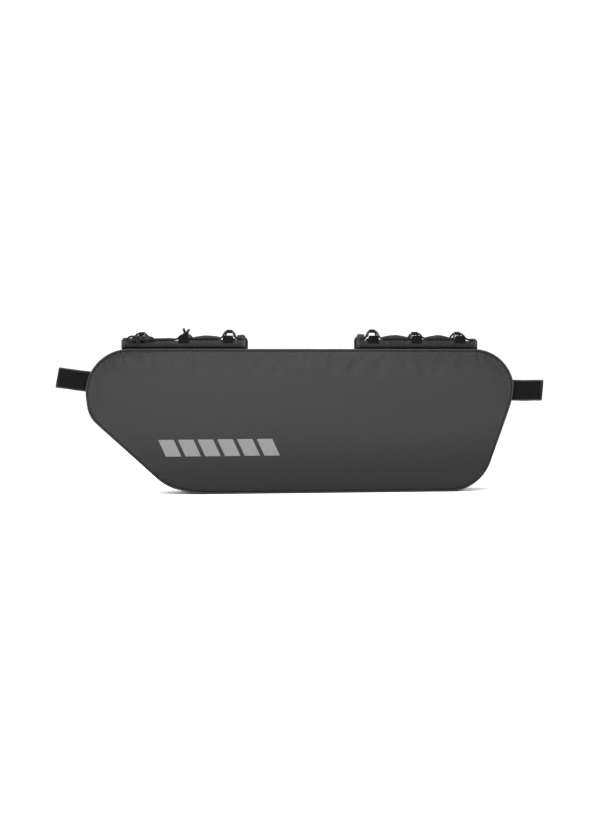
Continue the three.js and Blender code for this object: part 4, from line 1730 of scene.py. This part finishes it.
@dataclass
class Sleeve:
    """A laced sleeve: two flaps with hems, tabs and the crossed lace."""

    label: str
    along: float
    tops: np.ndarray
    crests: tuple[float, float, float]
    finishes: Finishes
    length: float = 150 * MM
    spread: float = 44 * MM
    foot: float = 9 * MM
    bend: float = 3.2 * MM
    hem_top: float = 14 * MM
    hem_radius: float = 2.6 * MM
    crease_height: float = 11.8 * MM
    least_hem: float = 3.4 * MM
    hem_lean: float = 0.6 * MM
    corner: float = 4.5 * MM
    notch: float = 22 * MM
    lace_bend: float = 4.5 * MM
    lace_radius: float = 1.2 * MM
    twist: float = 3.4 * MM
    point_share: float = 0.357
    tab_foot: float = 8.3 * MM

    @property
    def points(self) -> list[float]:
        """Lace points along the sleeve."""
        return [share * self.length for share in (-self.point_share, 0.0, self.point_share)]

    @property
    def hem_depth(self) -> float:
        """Distance of the hem's middle from the bag's middle plane."""
        return self.spread / 2 - self.hem_lean

    def space(self, local: np.ndarray) -> np.ndarray:
        """Turns points of the sleeve into points of the row's frame.

        Args:
            local: Along, depth and height above the top edge.

        Returns:
            The points.
        """
        x, z = tilted(local[..., 0], local[..., 2])
        foot = top_edge(self.along) - PIPING_PROUD
        return points_of(self.along + BAG_X + x, BAG_Y + local[..., 1], foot + z)

    def lift(self, x: np.ndarray | float) -> np.ndarray:
        """How much higher than at a notch the top of the hem stands.

        Args:
            x: Places along the sleeve.

        Returns:
            Heights.
        """
        x = np.asarray(x, float)
        half, notch = self.length / 2, self.notch / 2
        first, middle, last = self.points
        stops = [-half + 3 * MM, first - notch, first + notch, (first + middle) / 2, middle - notch]
        stops += [middle + notch, (middle + last) / 2, last - notch, last + notch, half - 3 * MM]
        total = np.full(x.shape, self.tops[0])
        for k in range(1, len(stops)):
            total = total + (self.tops[k] - self.tops[k - 1]) * eased(x, stops[k - 1], stops[k])
        return total

    def hem_middle(self, x: np.ndarray | float) -> np.ndarray:
        """Height of the middle of the hem above the top edge."""
        return (self.hem_top + self.lift(x) + self.crease(x)) / 2

    def crease(self, x: np.ndarray | float) -> np.ndarray:
        """Height of the sewn line under the hem."""
        return np.minimum(self.crease_height, self.hem_top + self.lift(x) - self.least_hem)

    def top_at(self, x: np.ndarray) -> np.ndarray:
        """Height of the top of the hem, with its two round ends."""
        return self.hem_top + self.lift(x) - round_off(x, self.length / 2, self.corner)

    def end_ridge(self, x: np.ndarray | float) -> np.ndarray:
        """How much thicker the cloth is under the bound seam at each end."""
        return 0.4 * MM * hump(self.length / 2 - np.abs(x), 2.4 * MM, 0.9 * MM)

    def flap(self, side: Side) -> Object:
        """One flap: foot, wall and the hem segments between the notches.

        Args:
            side: Which side of the tube it is on.

        Returns:
            The flap.
        """
        seed = abs(100 * side.value + int(self.along * 1000))
        pucker = Ripple(seed + 7, 7 * MM)
        slow = Ripple(seed + 8, 26 * MM)
        sign, half = side.value, 0.62 * MM
        arc = np.linspace(-math.pi / 2, 0, 9)
        line = np.concatenate([
            points_of(np.linspace(-self.foot, -self.bend, 6)[:-1], half),
            np.array([-self.bend, half + self.bend]) + self.bend * circle(arc),
            points_of(0.0, np.linspace(4.4, 10.4, 12) * MM),
        ])
        up = line[:, 1]
        x = np.linspace(-self.length / 2, self.length / 2, 190)
        at = x[:, None]
        free = eased(up, 2.5 * MM, 8 * MM)
        belly = 0.5 * MM * np.sin(np.clip((up - 2 * MM) / (8.2 * MM), 0, 1) * math.pi)
        faces = []
        for offset in (-half, half):
            flat = beside(line, offset)
            taller = self.crease(at) + 0.1 * MM - CLEARANCE - up[-1]
            height = flat[:, 1] + taller * np.clip((up - 4.4 * MM) / (6 * MM), 0, 1)
            wave = 0.22 * MM * free * pucker(at, up * 0.35) + 0.3 * MM * free * slow(at)
            out = flat[:, 0] + belly + wave
            if offset < 0:
                out = out + self.end_ridge(at) * free
            wall = points_of(at, sign * (self.spread / 2 + out), height + CLEARANCE)
            faces.append(self.space(wall))
        draft = Slab()
        draft.wall(*faces, uv_of(x, run_of(line)))
        cuts = [-self.length / 2]
        for point in self.points:
            cuts += [point - self.notch / 2, point + self.notch / 2]
        cuts.append(self.length / 2)
        for start, end in zip(cuts[::2], cuts[1::2]):
            self._hem(draft, sign, start, end, pucker, slow)
        name = f"{self.label}_{side.name.lower()}_flap_cloth"
        return draft.piece(name, self.finishes.flap, sharp=50)

    def _hem(
        self, draft: Slab, sign: int, start: float, end: float, pucker: Ripple, slow: Ripple
    ) -> None:
        """Adds one segment of the hem, an open channel of cloth sewn down at the crease.

        Args:
            draft: Where it is added.
            sign: Which way is out.
            start: Where it begins along the sleeve.
            end: Where it ends.
            pucker: Short waves of the cloth.
            slow: Long waves of the cloth.
        """
        x = np.linspace(start, end, max(8, int((end - start) / (0.8 * MM))))
        angle = np.radians(np.linspace(-78, 258, 34))
        outer = np.zeros((len(x), len(angle), 3))
        inner = np.zeros_like(outer)
        for k, at in enumerate(x):
            top = float(self.top_at(at))
            if abs(at) <= self.length / 2 - self.corner:
                top -= 0.5 * MM * float(hump(at, start, 2.5 * MM) + hump(at, end, 2.5 * MM))
            low = min(float(self.crease(at)), top - 2 * MM)
            middle, tall = (top + low) / 2, (top - low) / 2
            wide = self.hem_radius + 0.25 * MM * float(slow(at)) + 0.1 * (tall - self.hem_radius)
            wide = min(wide, tall + 1.0 * MM)
            wave = 0.16 * MM * pucker(at, angle * 1.2 * MM) + float(self.end_ridge(at))
            for grid, deep in ((outer, 0.0), (inner, 0.95 * MM)):
                across = (wide - deep + wave * (deep == 0)) * np.cos(angle)
                up = (max(tall - deep, 0.2 * MM) + wave * (deep == 0) * 0.5) * np.sin(angle)
                grid[k] = points_of(at, sign * (self.hem_depth + across), middle + up)
        uv = uv_of(x, 30 * MM + angle * self.hem_radius)
        draft.wall(self.space(outer), self.space(inner), uv)

    def crossing(self, point: float, from_side: int, crest: float, phase: int) -> np.ndarray:
        """Where one crossing of the lace runs, from hem to hem, wound round the other cord on top.

        Args:
            point: The lace point.
            from_side: Side of the hem that it leaves.
            crest: How high it rises.
            phase: 1 for the cord that starts above the other, -1 for the other.

        Returns:
            Points in the sleeve's frame.
        """
        middle = np.array([-self.notch / 2, self.lace_bend - self.hem_depth])
        turn = math.atan2(-middle[1], -middle[0]) + math.asin(
            self.lace_bend / np.linalg.norm(middle)
        )
        angle = np.radians(np.linspace(-90, math.degrees(turn) - 90, 4))
        bend = middle + self.lace_bend * circle(angle)
        near = np.array([-self.twist, -self.lace_radius])
        share = np.array([0.2, 0.4, 0.6, 0.8])[:, None]
        leg = np.concatenate([bend, bend[-1] + share * (near - bend[-1])])
        leg_way = np.clip((leg[:, 1] + self.hem_depth) / (2 * self.hem_depth), 0, 1)
        base = self.hem_middle(point + leg[:, 0])
        rise = (crest - self.lace_radius) * np.sin(math.pi * leg_way) ** 0.9
        first = points_of(leg[:, 0], leg[:, 1], base + rise)
        top = float(self.hem_middle(point)) + crest - self.lace_radius
        turns = np.linspace(0, 3 * math.pi, 13)
        wound = points_of(
            np.linspace(-self.twist, self.twist, 13), -self.lace_radius * np.cos(turns),
            top + phase * self.lace_radius * np.sin(turns),
        )
        last = first[::-1].copy()
        last[:, :2] *= -1
        last[:, 2] += self.hem_middle(point + last[:, 0]) - base[::-1]
        whole = np.concatenate([first, wound, last])
        whole[:, 0] += point
        whole[:, 1] *= -from_side
        return whole

    def in_hem(self, x: float, side: int) -> np.ndarray:
        """A point of the lace inside the hem of one side."""
        return np.array([[x, side * self.hem_depth, float(self.hem_middle(x))]])

    def lace(self, name: str, first: int, phase: int) -> Object:
        """One of the two cords.

        Args:
            name: Its name.
            first: Side of the hem where it starts.
            phase: 1 for the upper cord, -1 for the lower one.

        Returns:
            The cord.
        """
        tip = self.length / 2 - 3 * MM
        route, side = [self.in_hem(-tip, first)], first
        for k, point in enumerate(self.points):
            if k:
                route.append(self.in_hem((point + self.points[k - 1]) / 2, side))
            route.append(self.crossing(point, side, self.crests[k], phase))
            side = -side
        route.append(self.in_hem(tip, side))
        draft = Draft()
        path = smooth_path(np.concatenate(route), 0.7 * MM)
        draft.tube(self.space(path), self.lace_radius, 12)
        return draft.piece(name, self.finishes.cord)

    def tab_spots(self, side: Side) -> np.ndarray:
        """Feet of the three tabs on one side, in the row's frame."""
        depth = side.value * (self.spread / 2 + CLOTH / 2 + CLEARANCE + 0.6 * MM)
        return self.space(points_of(self.points, depth, self.tab_foot))

    def seams(self, hems: Sewing, ends: Sewing, flap: Object, side: Side) -> None:
        """Adds the stitches of one flap: under the hem, and round both ends.

        Args:
            hems: Where the stitches under the hem are collected.
            ends: Where the stitches round the ends are collected.
            flap: The flap.
            side: Which flap.
        """
        reach, bend = self.length / 2, self.corner
        x = np.linspace(-reach + 5 * MM, reach - 5 * MM, 90)
        rows = [(hems, points_of(x, self.crease(x) - 0.9 * MM))]
        angle = np.linspace(0, math.pi / 2, 7)
        for end in (-1, 1):
            for inside in (1.5 * MM, 3.3 * MM):
                top = self.hem_top + float(self.lift(end * (reach - 4 * MM))) - inside - 0.3 * MM
                turned = points_of(
                    reach - inside - (bend - inside) * (1 - np.cos(angle)),
                    top - (bend - inside) * (1 - np.sin(angle)),
                )
                upright = points_of(reach - inside, np.linspace(3.6 * MM, turned[0, 1], 8))
                row = np.concatenate([upright[:-1], turned])
                rows.append((ends, row * np.array([end, 1.0])))
        for sewing, row in rows:
            outside = self.space(points_of(row[:, 0], side.value * 60 * MM, row[:, 1]))
            laid = laid_on(flap, outside, (0, -side.value, 0))
            if len(laid) > 1:
                sewing.row(laid)


@dataclass
class Sleeves:
    """Both laced sleeves with their tabs, laces, bow and tails."""

    finishes: Finishes
    tree: NodeTree
    stitches: NodeTree
    tab_width: float = 12.8 * MM
    tab_height: float = 9.0 * MM
    tab_thickness: float = 1.2 * MM
    tab_corner: float = 2.4 * MM

    def build(self) -> None:
        """Makes every piece of the two sleeves."""
        left_tops = np.array([0.9, 0.7, 0.0, 0.3, 0.5, 2.0, 3.6, 2.6, 4.3, 4.6]) * MM
        right_tops = np.array([5.6, 5.2, 2.8, 4.3, 2.4, 2.4, 4.2, 1.6, 0.3, 0.0]) * MM
        left_crests = (9.6 * MM, 7.6 * MM, 10.6 * MM)
        right_crests = (10.8 * MM, 8.7 * MM, 9.6 * MM)
        left = Sleeve("left", -0.2714 * BODY_LENGTH, left_tops, left_crests, self.finishes)
        right_along = 0.2792 * BODY_LENGTH - 2.2 * MM
        right = Sleeve("right", right_along, right_tops, right_crests, self.finishes, 146 * MM)
        ends = Sewing(self.stitches, self.finishes.pale_thread, 2.2 * MM, 1.5 * MM, 0.5 * MM)
        hems = Sewing(self.stitches, self.finishes.thread, 2.6 * MM, 2.0 * MM, 0.4 * MM)
        tab = self._tab()
        for sleeve in (left, right):
            for side in Side:
                node = f"{sleeve.label}_{side.name.lower()}"
                flap = stand_for(sleeve.flap(side), "flap_fabric", node + "_flap")
                sleeve.seams(hems, ends, flap, side)
                self._tabs(sleeve, side, tab, node)
            for way, first, phase in (("over", -1, 1), ("under", 1, -1)):
                node = f"{sleeve.label}_lace_{way}"
                stand_for(sleeve.lace(node + "_cord", first, phase), "elastic_cord", node)
        ends.sew("sleeve_end_stitches", "flap_fabric", 5)
        hems.sew("sleeve_hem_stitches", "flap_fabric", 6)
        bpy.data.objects.remove(tab)
        stand_for(self._bow(left), "elastic_cord", "left_lace_bow")
        stand_for(self._tails(left), "elastic_cord", "left_lace_tails")

    def _tab(self) -> Object:
        """The original of the lace tabs: a folded tape with round upper corners.

        Returns:
            The tab, standing at the origin.
        """
        x = np.linspace(-0.5, 0.5, 15) * self.tab_width
        share = np.linspace(0, 1, 9)
        top = self.tab_height - round_off(x, self.tab_width / 2, self.tab_corner)
        z = top[:, None] * share[None]
        wide = x[:, None]
        swell = 0.25 * MM * np.sin(share * math.pi)[None] * np.cos(wide / self.tab_width * math.pi)
        half = self.tab_thickness / 2
        draft = Slab()
        draft.wall(points_of(wide, -half - swell, z), points_of(wide, half, z), points_of(wide, z))
        return draft.piece("lace_tab", self.finishes.tab, sharp=50)

    def _tabs(self, sleeve: Sleeve, side: Side, tab: Object, node: str) -> None:
        """Puts the three tabs of one flap in their places.

        Args:
            sleeve: The sleeve.
            side: Which flap.
            tab: The original.
            node: How the names of the CAD nodes start.
        """
        mesh = bpy.data.meshes.new("tab_spots")
        mesh.from_pydata(sleeve.tab_spots(side).tolist(), [], [])
        turn = (0.0, TOP_SLOPE, 0.0) if side is Side.FRONT else (0.0, -TOP_SLOPE, math.pi)
        made = self.tree.grow(
            node + "_tabs", mesh, {"Original": tab, "Turn": turn, "Material": self.finishes.tab}
        )
        stand_for(made, "grosgrain", *[f"{node}_lace_tab_{k}" for k in (1, 2, 3)])

    def _bow(self, sleeve: Sleeve) -> Object:
        """The tied bow: a round knot and a loop to each side.

        Args:
            sleeve: The sleeve that it is tied on.

        Returns:
            The bow.
        """
        middle = np.array([sleeve.points[0], -27.05 * MM, 12.4 * MM])
        size, radius = 9.5 * MM, 1.25 * MM
        turn = np.linspace(0, math.tau, 72, endpoint=False)
        knot = points_of(
            (np.sin(turn) + 2 * np.sin(2 * turn)) * 1.2 * MM, -np.sin(3 * turn) * 1.35 * MM,
            (np.cos(turn) - 2 * np.cos(2 * turn)) * 1.15 * MM,
        )
        draft = Draft()
        draft.tube(sleeve.space(middle + knot), radius, 12, closed=True)
        angle = np.radians(205 + 31 * np.arange(11))
        for towards, length, height in ((-1, 1.05, 0.5), (1, 1.55, 0.32)):
            out = size * (0.25 + length * (1 + np.cos(angle)) / 2)
            up = 9 * MM * 0.125 + size * height * np.sin(angle) / 2
            loop = points_of(towards * out, 0.5 * MM * np.sin(angle) - 0.3 * MM, up)
            whole = np.concatenate([[[0, 0.6 * MM, 0]], loop, [[0, 0.6 * MM, 0]]])
            draft.tube(sleeve.space(middle + smooth_path(whole, 0.7 * MM)), radius, 12)
        return draft.piece("left_lace_bow_cord", self.finishes.cord)

    def _tails(self, sleeve: Sleeve) -> Object:
        """The two cut ends of the lace with the small knot below them.

        Args:
            sleeve: The sleeve that they are on.

        Returns:
            The tails.
        """
        middle = np.array([0.0, 0.0, float(sleeve.hem_middle(0.0)) + sleeve.crests[1] + 1.2 * MM])
        turn = np.linspace(0, math.tau, 40, endpoint=False)
        across, along = np.cos(turn) * 1.9 * MM, np.sin(turn) * 1.9 * MM
        knots, tips = Draft(), Draft()
        for lift, lean in ((-0.85 * MM, 0.35), (0.6 * MM, -0.3)):
            ring = middle + points_of(across, along, lift + lean * across)
            knots.tube(sleeve.space(ring), 1.15 * MM, 10, closed=True)
        share = np.linspace(0, 1, 13)[:, None]
        for side, lean, reach in (
            (-1, math.radians(20), 5.8 * MM), (1, math.radians(40), 5.6 * MM)
        ):
            way = np.array([side * math.sin(lean), -0.3, math.cos(lean)])
            curl = np.array([side * -0.4, 0.2, 0.0])
            start = middle + np.array([side * 1.1 * MM, 0.0, 0.0])
            path = sleeve.space(start + way * share * reach + curl * MM * share**2)
            knots.tube(path[:9], 1.6 * MM, 12)
            tips.tube(path[8:], 1.75 * MM, 12)
        dark = knots.piece("left_lace_knot", self.finishes.cord)
        # Painted highlight: the tips take the much lighter cord finish, for the light that they
        # catch.
        light = tips.piece("left_lace_tip", self.finishes.cord_tip)
        return joined([dark, light], "left_lace_tails_cord")


@dataclass
class StrapLoop:
    """A closed loop of webbing at one end of the bag."""

    node: str
    side: int
    up: float
    climb: float
    outline: Outline
    finishes: Finishes
    longer: float = 0.0
    lean: float = 0.0
    width: float = 25 * MM
    thickness: float = 1.9 * MM

    def plan(self) -> np.ndarray:
        """The middle of the strap from its short end to its long end.

        Returns:
            Points out of the bag and across it.
        """
        stops = [np.array([[20, 16.7]])]
        for x, y, radius, start in (
            (4.3, 13.7, 3, 90), (4.3, -16, 3, 180), (27.5, -12, 7, 270), (27.5, 12, 7, 0)
        ):
            angle = np.radians(np.linspace(start, start + 90, 13))
            stops.append(np.array([x, y]) + radius * circle(angle))
        corners = np.concatenate([*stops, [[6, 19]]]) * MM
        corners[:, 0] += self.longer * eased(corners[:, 0], 12 * MM, 26 * MM)
        dense = [corners[0]]
        for a, b in zip(corners[:-1], corners[1:]):
            steps = max(1, int(np.linalg.norm(b - a) / (1.2 * MM)))
            dense += [a + (b - a) * k / steps for k in range(1, steps + 1)]
        return np.array(dense)

    def space(self, out: np.ndarray, across: np.ndarray, up: np.ndarray) -> np.ndarray:
        """Turns places of the loop into points of the row's frame.

        Args:
            out: Distances away from the bag.
            across: Distances towards the back.
            up: Places over the width of the strap.

        Returns:
            The points.
        """
        base, facing = self.outline.at_height(self.side, self.up * BODY_HEIGHT, PIPING_PROUD)
        climb = math.radians(self.climb)
        away = np.array([self.side * math.cos(climb), 0.0, math.sin(climb)])
        upward = np.array([-self.side * facing[1], 0.0, self.side * facing[0]])
        scale = 1 / abs(away[0] * upward[2] - away[2] * upward[0])
        origin = np.array([base[0], BAG_Y, base[1]])
        out, across, up = (np.asarray(v)[..., None] for v in np.broadcast_arrays(out, across, up))
        return origin + out * away + across * np.array([0.0, 1.0, 0.0]) + up * scale * upward

    def build(self, sewing: Sewing) -> None:
        """Makes the loop.

        Args:
            sewing: Collects the stitches that close it.
        """
        plan = self.plan()
        run = run_of(plan)
        over = np.linspace(-0.5, 0.5, 21) * self.width
        slow = Ripple(61 + self.side, 30 * MM)
        edge = np.abs(over) / (self.width / 2)
        half = self.thickness / 2 * (
            np.sqrt(1 - np.minimum(edge, 0.97) ** 16) * (1 + 0.1 * edge**6)
        )
        faces = []
        for way in (-1, 1):
            grid = np.zeros((len(plan), len(over), 3))
            for j, height in enumerate(over):
                wave = 0.3 * MM * slow(run, height) * eased(run, 16 * MM, 34 * MM)
                line = beside(plan, wave + way * half[j])
                sag = 0.25 * MM * slow(run + 0.1, height * 0.2)
                slant = self.lean * height / self.width * eased(line[:, 0], 8 * MM, 32 * MM)
                grid[:, j] = self.space(line[:, 0] + slant, line[:, 1], height + sag)
            faces.append(grid)
        draft = Slab()
        draft.wall(*faces, uv_of(run, over))
        strap = draft.piece(self.node + "_webbing", self.finishes.webbing, sharp=55)
        stand_for(strap, "webbing", self.node)
        box = np.array([(8, -10), (18, -10), (18, 10), (8, 10), (8, -10), (18, 10)], float) * MM
        dense = [a + (b - a) * k / 12 for a, b in zip(box[:-1], box[1:]) for k in range(12)]
        corners = np.array([*dense, box[-1]])
        sewing.row(self.space(corners[:, 0], 20.1 * MM, corners[:, 1]))


def boxy(wave: np.ndarray, power: float) -> np.ndarray:
    """A wave with flatter crests, so that a circle of two turns into a rounded box."""
    return np.sign(wave) * np.abs(wave) ** power


@dataclass
class Zip:
    """The zip in the back panel: tape, coil, slider with its pull, and the sewn lips."""

    place: ZipPlace
    panel: Object
    finishes: Finishes
    coils: NodeTree
    slider_at: float = -179 * MM

    def build(self, sewing: Sewing) -> None:
        """Makes the pieces.

        Args:
            sewing: Collects the stitches of the lips.
        """
        tape = self._tape()
        coil = self.coils.grow(
            "zip_coil", line_mesh([np.array([[0, 0, 0], [0.001, 0, 0]])], "zip_coil_seed"),
            {
                "Length": 0.378, "Turns": 290.0, "Width": 5.0 * MM, "Height": 1.25 * MM,
                "Wire": 0.3 * MM, "Material": self.finishes.coil,
            },
        )
        turn = Matrix.Rotation(TOP_SLOPE, 4, "Y")
        start = Vector(self.place.space(-0.189, 33.35 * MM, 0.0))
        coil.data.transform(Matrix.Translation(start) @ turn)
        stand_for(joined([tape, coil], "zip_closed"), "zip_tape", "zip")
        stand_for(self._slider(), "slider_metal", "zip_slider")
        sewing.ring(self.panel, self.place.loop(3.0 * MM, 2 * MM), Side.BACK)

    def _tape(self) -> Object:
        """The tape under the lips and the coil.

        Returns:
            The tape.
        """
        places = uv_of(np.linspace(-195, 195, 131) * MM, np.linspace(-6, 6, 13) * MM)
        along, across = places[..., 0], places[..., 1]
        outer = 32.6 * MM + 0.05 * MM * Ripple(71, 12 * MM)(along, across)
        faces = [self.place.space(along, depth, across) for depth in (outer, 31.8 * MM)]
        draft = Slab()
        draft.wall(*faces, places)
        return draft.piece("zip_tape", self.finishes.tape)

    def _plate(
        self, draft: Draft, outline: np.ndarray, low: float, high: float, bevel: float
    ) -> None:
        """Adds a flat plate with a soft edge.

        Args:
            draft: Where it is added.
            outline: Its outline, along and across.
            low: Depth of its inner face.
            high: Depth of its outer face.
            bevel: Size of the soft edge.
        """
        middle = outline.mean(axis=0)
        away = outline - middle
        small = middle + away * (1 - bevel / np.linalg.norm(away, axis=1))[:, None]
        levels = ((small, low), (outline, low + bevel), (outline, high - bevel), (small, high))
        self._rings(draft, levels, closed=False)

    def _rings(self, draft: Draft, levels: Sequence[tuple], closed: bool) -> None:
        """Adds rings of one round part of the slider.

        Args:
            draft: Where they are added.
            levels: Outline, along and across, and depth of each ring.
            closed: Whether the last ring joins the first.
        """
        rings = [
            self.place.space(self.slider_at + line[:, 0], depth, line[:, 1])
            for line, depth in levels
        ]
        rows, columns = len(rings) + closed, len(rings[0]) + 1
        uv = uv_of(np.linspace(0, 0.003 * rows / 4, rows), np.linspace(0, 0.03, columns))[..., ::-1]
        draft.grid(np.array(rings), uv, closed, True, not closed)

    def _slider(self) -> Object:
        """The slider: plate with side flanges, bridge, and a long pull with a hole.

        Returns:
            The slider.
        """
        draft = Draft()
        angle = np.arange(40) * math.tau / 40
        cosine, sine = np.cos(angle), np.sin(angle)
        along = 6 * MM * boxy(cosine, 0.55)
        across = 4.5 * MM * boxy(sine, 0.6) * (1 - 0.12 * along / (6 * MM))
        self._plate(draft, points_of(along, across), 34.45 * MM, 35.7 * MM, 0.35 * MM)
        for way in (-1, 1):
            flange = points_of(along * 0.92, across * 0.16 + way * 3.75 * MM)
            self._plate(draft, flange, 33.5 * MM, 34.9 * MM, 0.2 * MM)
        arch = circle(np.linspace(0, math.pi, 15)) * np.array([3.9, 1.9]) * MM
        bridge = self.place.space(self.slider_at + arch[:, 0], 35.3 * MM + arch[:, 1], 0.0)
        draft.tube(bridge, 0.85 * MM, 12, flatten=1.4)
        bar = np.arange(36) * math.tau / 36
        along = 6.75 * MM + 10.75 * MM * boxy(np.cos(bar), 0.35)
        pull = points_of(along, 2.3 * MM * boxy(np.sin(bar), 0.5))
        self._plate(draft, pull, 35.95 * MM, 36.85 * MM, 0.25 * MM)
        radii = (2.7, 2.7, 2.45, 1.5, 1.3, 1.3, 1.5, 2.45)
        depths = (36.1, 36.75, 36.95, 36.95, 36.75, 36.1, 35.9, 35.9)
        eye = np.array([19.3 * MM, 0.0])
        levels = [(eye + r * MM * circle(angle), d * MM) for r, d in zip(radii, depths)]
        self._rings(draft, levels, closed=True)
        return draft.piece("zip_slider_metal", self.finishes.slider, sharp=40)


@dataclass
class ReflectiveBars:
    """Six leaning bars of film that follow the front panel."""

    finishes: Finishes
    panel: Object
    count: int = 6
    width: float = 18.5 * MM
    pitch: float = 23.5 * MM
    height: float = 20 * MM
    slant: float = 9 * MM
    corner: float = 0.9 * MM

    def shape(self) -> np.ndarray:
        """Outline of one bar about its middle, with small round corners.

        Returns:
            Its points.
        """
        half, tall, lean = self.width / 2, self.height / 2, self.slant / 2
        lower = np.array([(-half + lean, -tall), (half + lean, -tall)])
        corners = np.concatenate([lower, -lower])
        points = []
        for k, at in enumerate(corners):
            before, after = corners[k - 1], corners[(k + 1) % 4]
            back, on = (
                end / np.linalg.norm(end) * self.corner for end in (before - at, after - at)
            )
            for t in np.linspace(0, 1, 5):
                points.append((1 - t) ** 2 * (at + back) + 2 * t * (1 - t) * at + t**2 * (at + on))
            for t in np.linspace(0, 1, 10)[1:-1]:
                points.append(at + on + (after - at - 2 * on) * t)
        return np.array(points)

    def build(self) -> None:
        """Makes the bars."""
        tree = BVHTree.FromObject(self.panel, bpy.context.evaluated_depsgraph_get())
        middle = (middle_of("reflective_bar_1") + middle_of(f"reflective_bar_{self.count}")) / 2
        shape = self.shape()
        edge = ((0.99, 0.02), (1.0, 0.05), (1.0, 0.16), (0.985, 0.2))
        levels = edge + tuple((scale, 0.2) for scale in (0.8, 0.6, 0.4, 0.2))
        for number in range(self.count):
            centre = np.array([middle.x + (number - (self.count - 1) / 2) * self.pitch, middle.z])
            rings = []
            for scale, lift in levels:
                ring = []
                for x, z in centre + shape * scale:
                    found = tree.ray_cast(Vector((x, -1.0, z)), Vector((0, 1, 0)))[0]
                    ring.append((found.x, found.y - lift * MM, found.z))
                rings.append(ring)
            grid = np.array(rings)
            uv = np.concatenate([grid, grid[:, :1]], axis=1)[..., [0, 2]]
            draft = Draft()
            draft.grid(grid, uv, wrap_columns=True, capped=True)
            name = f"reflective_bar_{number + 1}"
            stand_for(draft.piece(name + "_film", self.finishes.film), "reflective_film", name)


@dataclass
class Studio:
    """Pale floor, soft light and the camera of the photo."""

    lens: float = 42.3
    eye: tuple[float, float, float] = (0.0005, -1.18, 0.1023)
    roll: float = -0.64
    floor: float = 30.0

    def build(self) -> None:
        """Makes the floor, the lights and the camera."""
        scene = bpy.context.scene
        mesh = bpy.data.meshes.new("floor")
        corners = [(-1, -1, 0), (1, -1, 0), (1, 1, 0), (-1, 1, 0)]
        mesh.from_pydata([Vector(c) * self.floor for c in corners], [], [(0, 1, 2, 3)])
        floor = show("floor", mesh, StudioPaper("studio_paper", 0.96).material())
        world = bpy.data.worlds.new("studio_air")
        world.use_nodes = True
        sky = world.node_tree.nodes["Background"]
        sky.inputs["Color"].default_value = (1.0, 1.0, 1.0, 1.0)
        sky.inputs["Strength"].default_value = 1.1
        scene.world = world
        self._area("key", (-0.15, -1.35, 0.95), (0.0, 0.0, 0.1), 0.8, 22.0)
        self._area("top", (0.0, -0.3, 1.4), (0.0, 0.0, 0.1), 0.7, 15.0)
        self._area("left_rim", (-1.1, 0.55, 0.9), (-0.1, 0.0, 0.12), 0.7, 13.0)
        self._area("right_rim", (1.2, 0.2, 0.8), (0.1, 0.0, 0.12), 0.6, 4.0)
        scene.view_settings.view_transform = "Standard"
        camera = bpy.data.cameras.new("camera")
        camera.sensor_fit = "VERTICAL"
        camera.sensor_height = 36.0
        camera.lens = self.lens
        camera.clip_end = 100.0
        view = bpy.data.objects.new("camera", camera)
        turn = Matrix.Rotation(math.radians(90), 4, "X") @ Matrix.Rotation(
            math.radians(self.roll), 4, "Z"
        )
        view.matrix_world = Matrix.Translation(self.eye) @ turn
        scene.collection.objects.link(view)
        scene.camera = view

    def _area(
        self, name: str, place: tuple[float, float, float], target: tuple[float, float, float],
        size: float, power: float,
    ) -> None:
        """Adds a square soft light.

        Args:
            name: Its name.
            place: Where it hangs.
            target: What it points at.
            size: Its side.
            power: Its power in watts.
        """
        lamp = bpy.data.lights.new(name, "AREA")
        lamp.size = size
        lamp.energy = power
        made = bpy.data.objects.new(name, lamp)
        made.location = place
        made.rotation_mode = "QUATERNION"
        made.rotation_quaternion = (Vector(target) - Vector(place)).to_track_quat("-Z", "Y")
        bpy.context.scene.collection.objects.link(made)


def main() -> None:
    """Builds the bag and its studio."""
    logging.basicConfig(level=logging.INFO, format="%(name)s: %(message)s")
    finishes = Finishes.make()
    stitches = stitch_tree()
    body = Body(finishes)
    body.build()
    Sleeves(finishes, copies_tree(), stitches).build()
    sewing = Sewing(stitches, finishes.thread)
    body.seams(sewing)
    for node, side, up, climb, longer, lean in (
        ("head_tube_strap", -1, 0.78, 8.4, 5.4 * MM, 2.2 * MM),
        ("seat_tube_strap", 1, 0.69, -0.8, 4.4 * MM, -0.4 * MM),
    ):
        StrapLoop(node, side, up, climb, body.outline, finishes, longer, lean).build(sewing)
    Zip(body.zip_place, body.back, finishes, coil_tree()).build(sewing)
    sewing.sew("body_stitches", "coated_fabric", 9)
    ReflectiveBars(finishes, body.front).build()
    Studio().build()
    log.info("built")


if __name__ == "__main__":
    main()
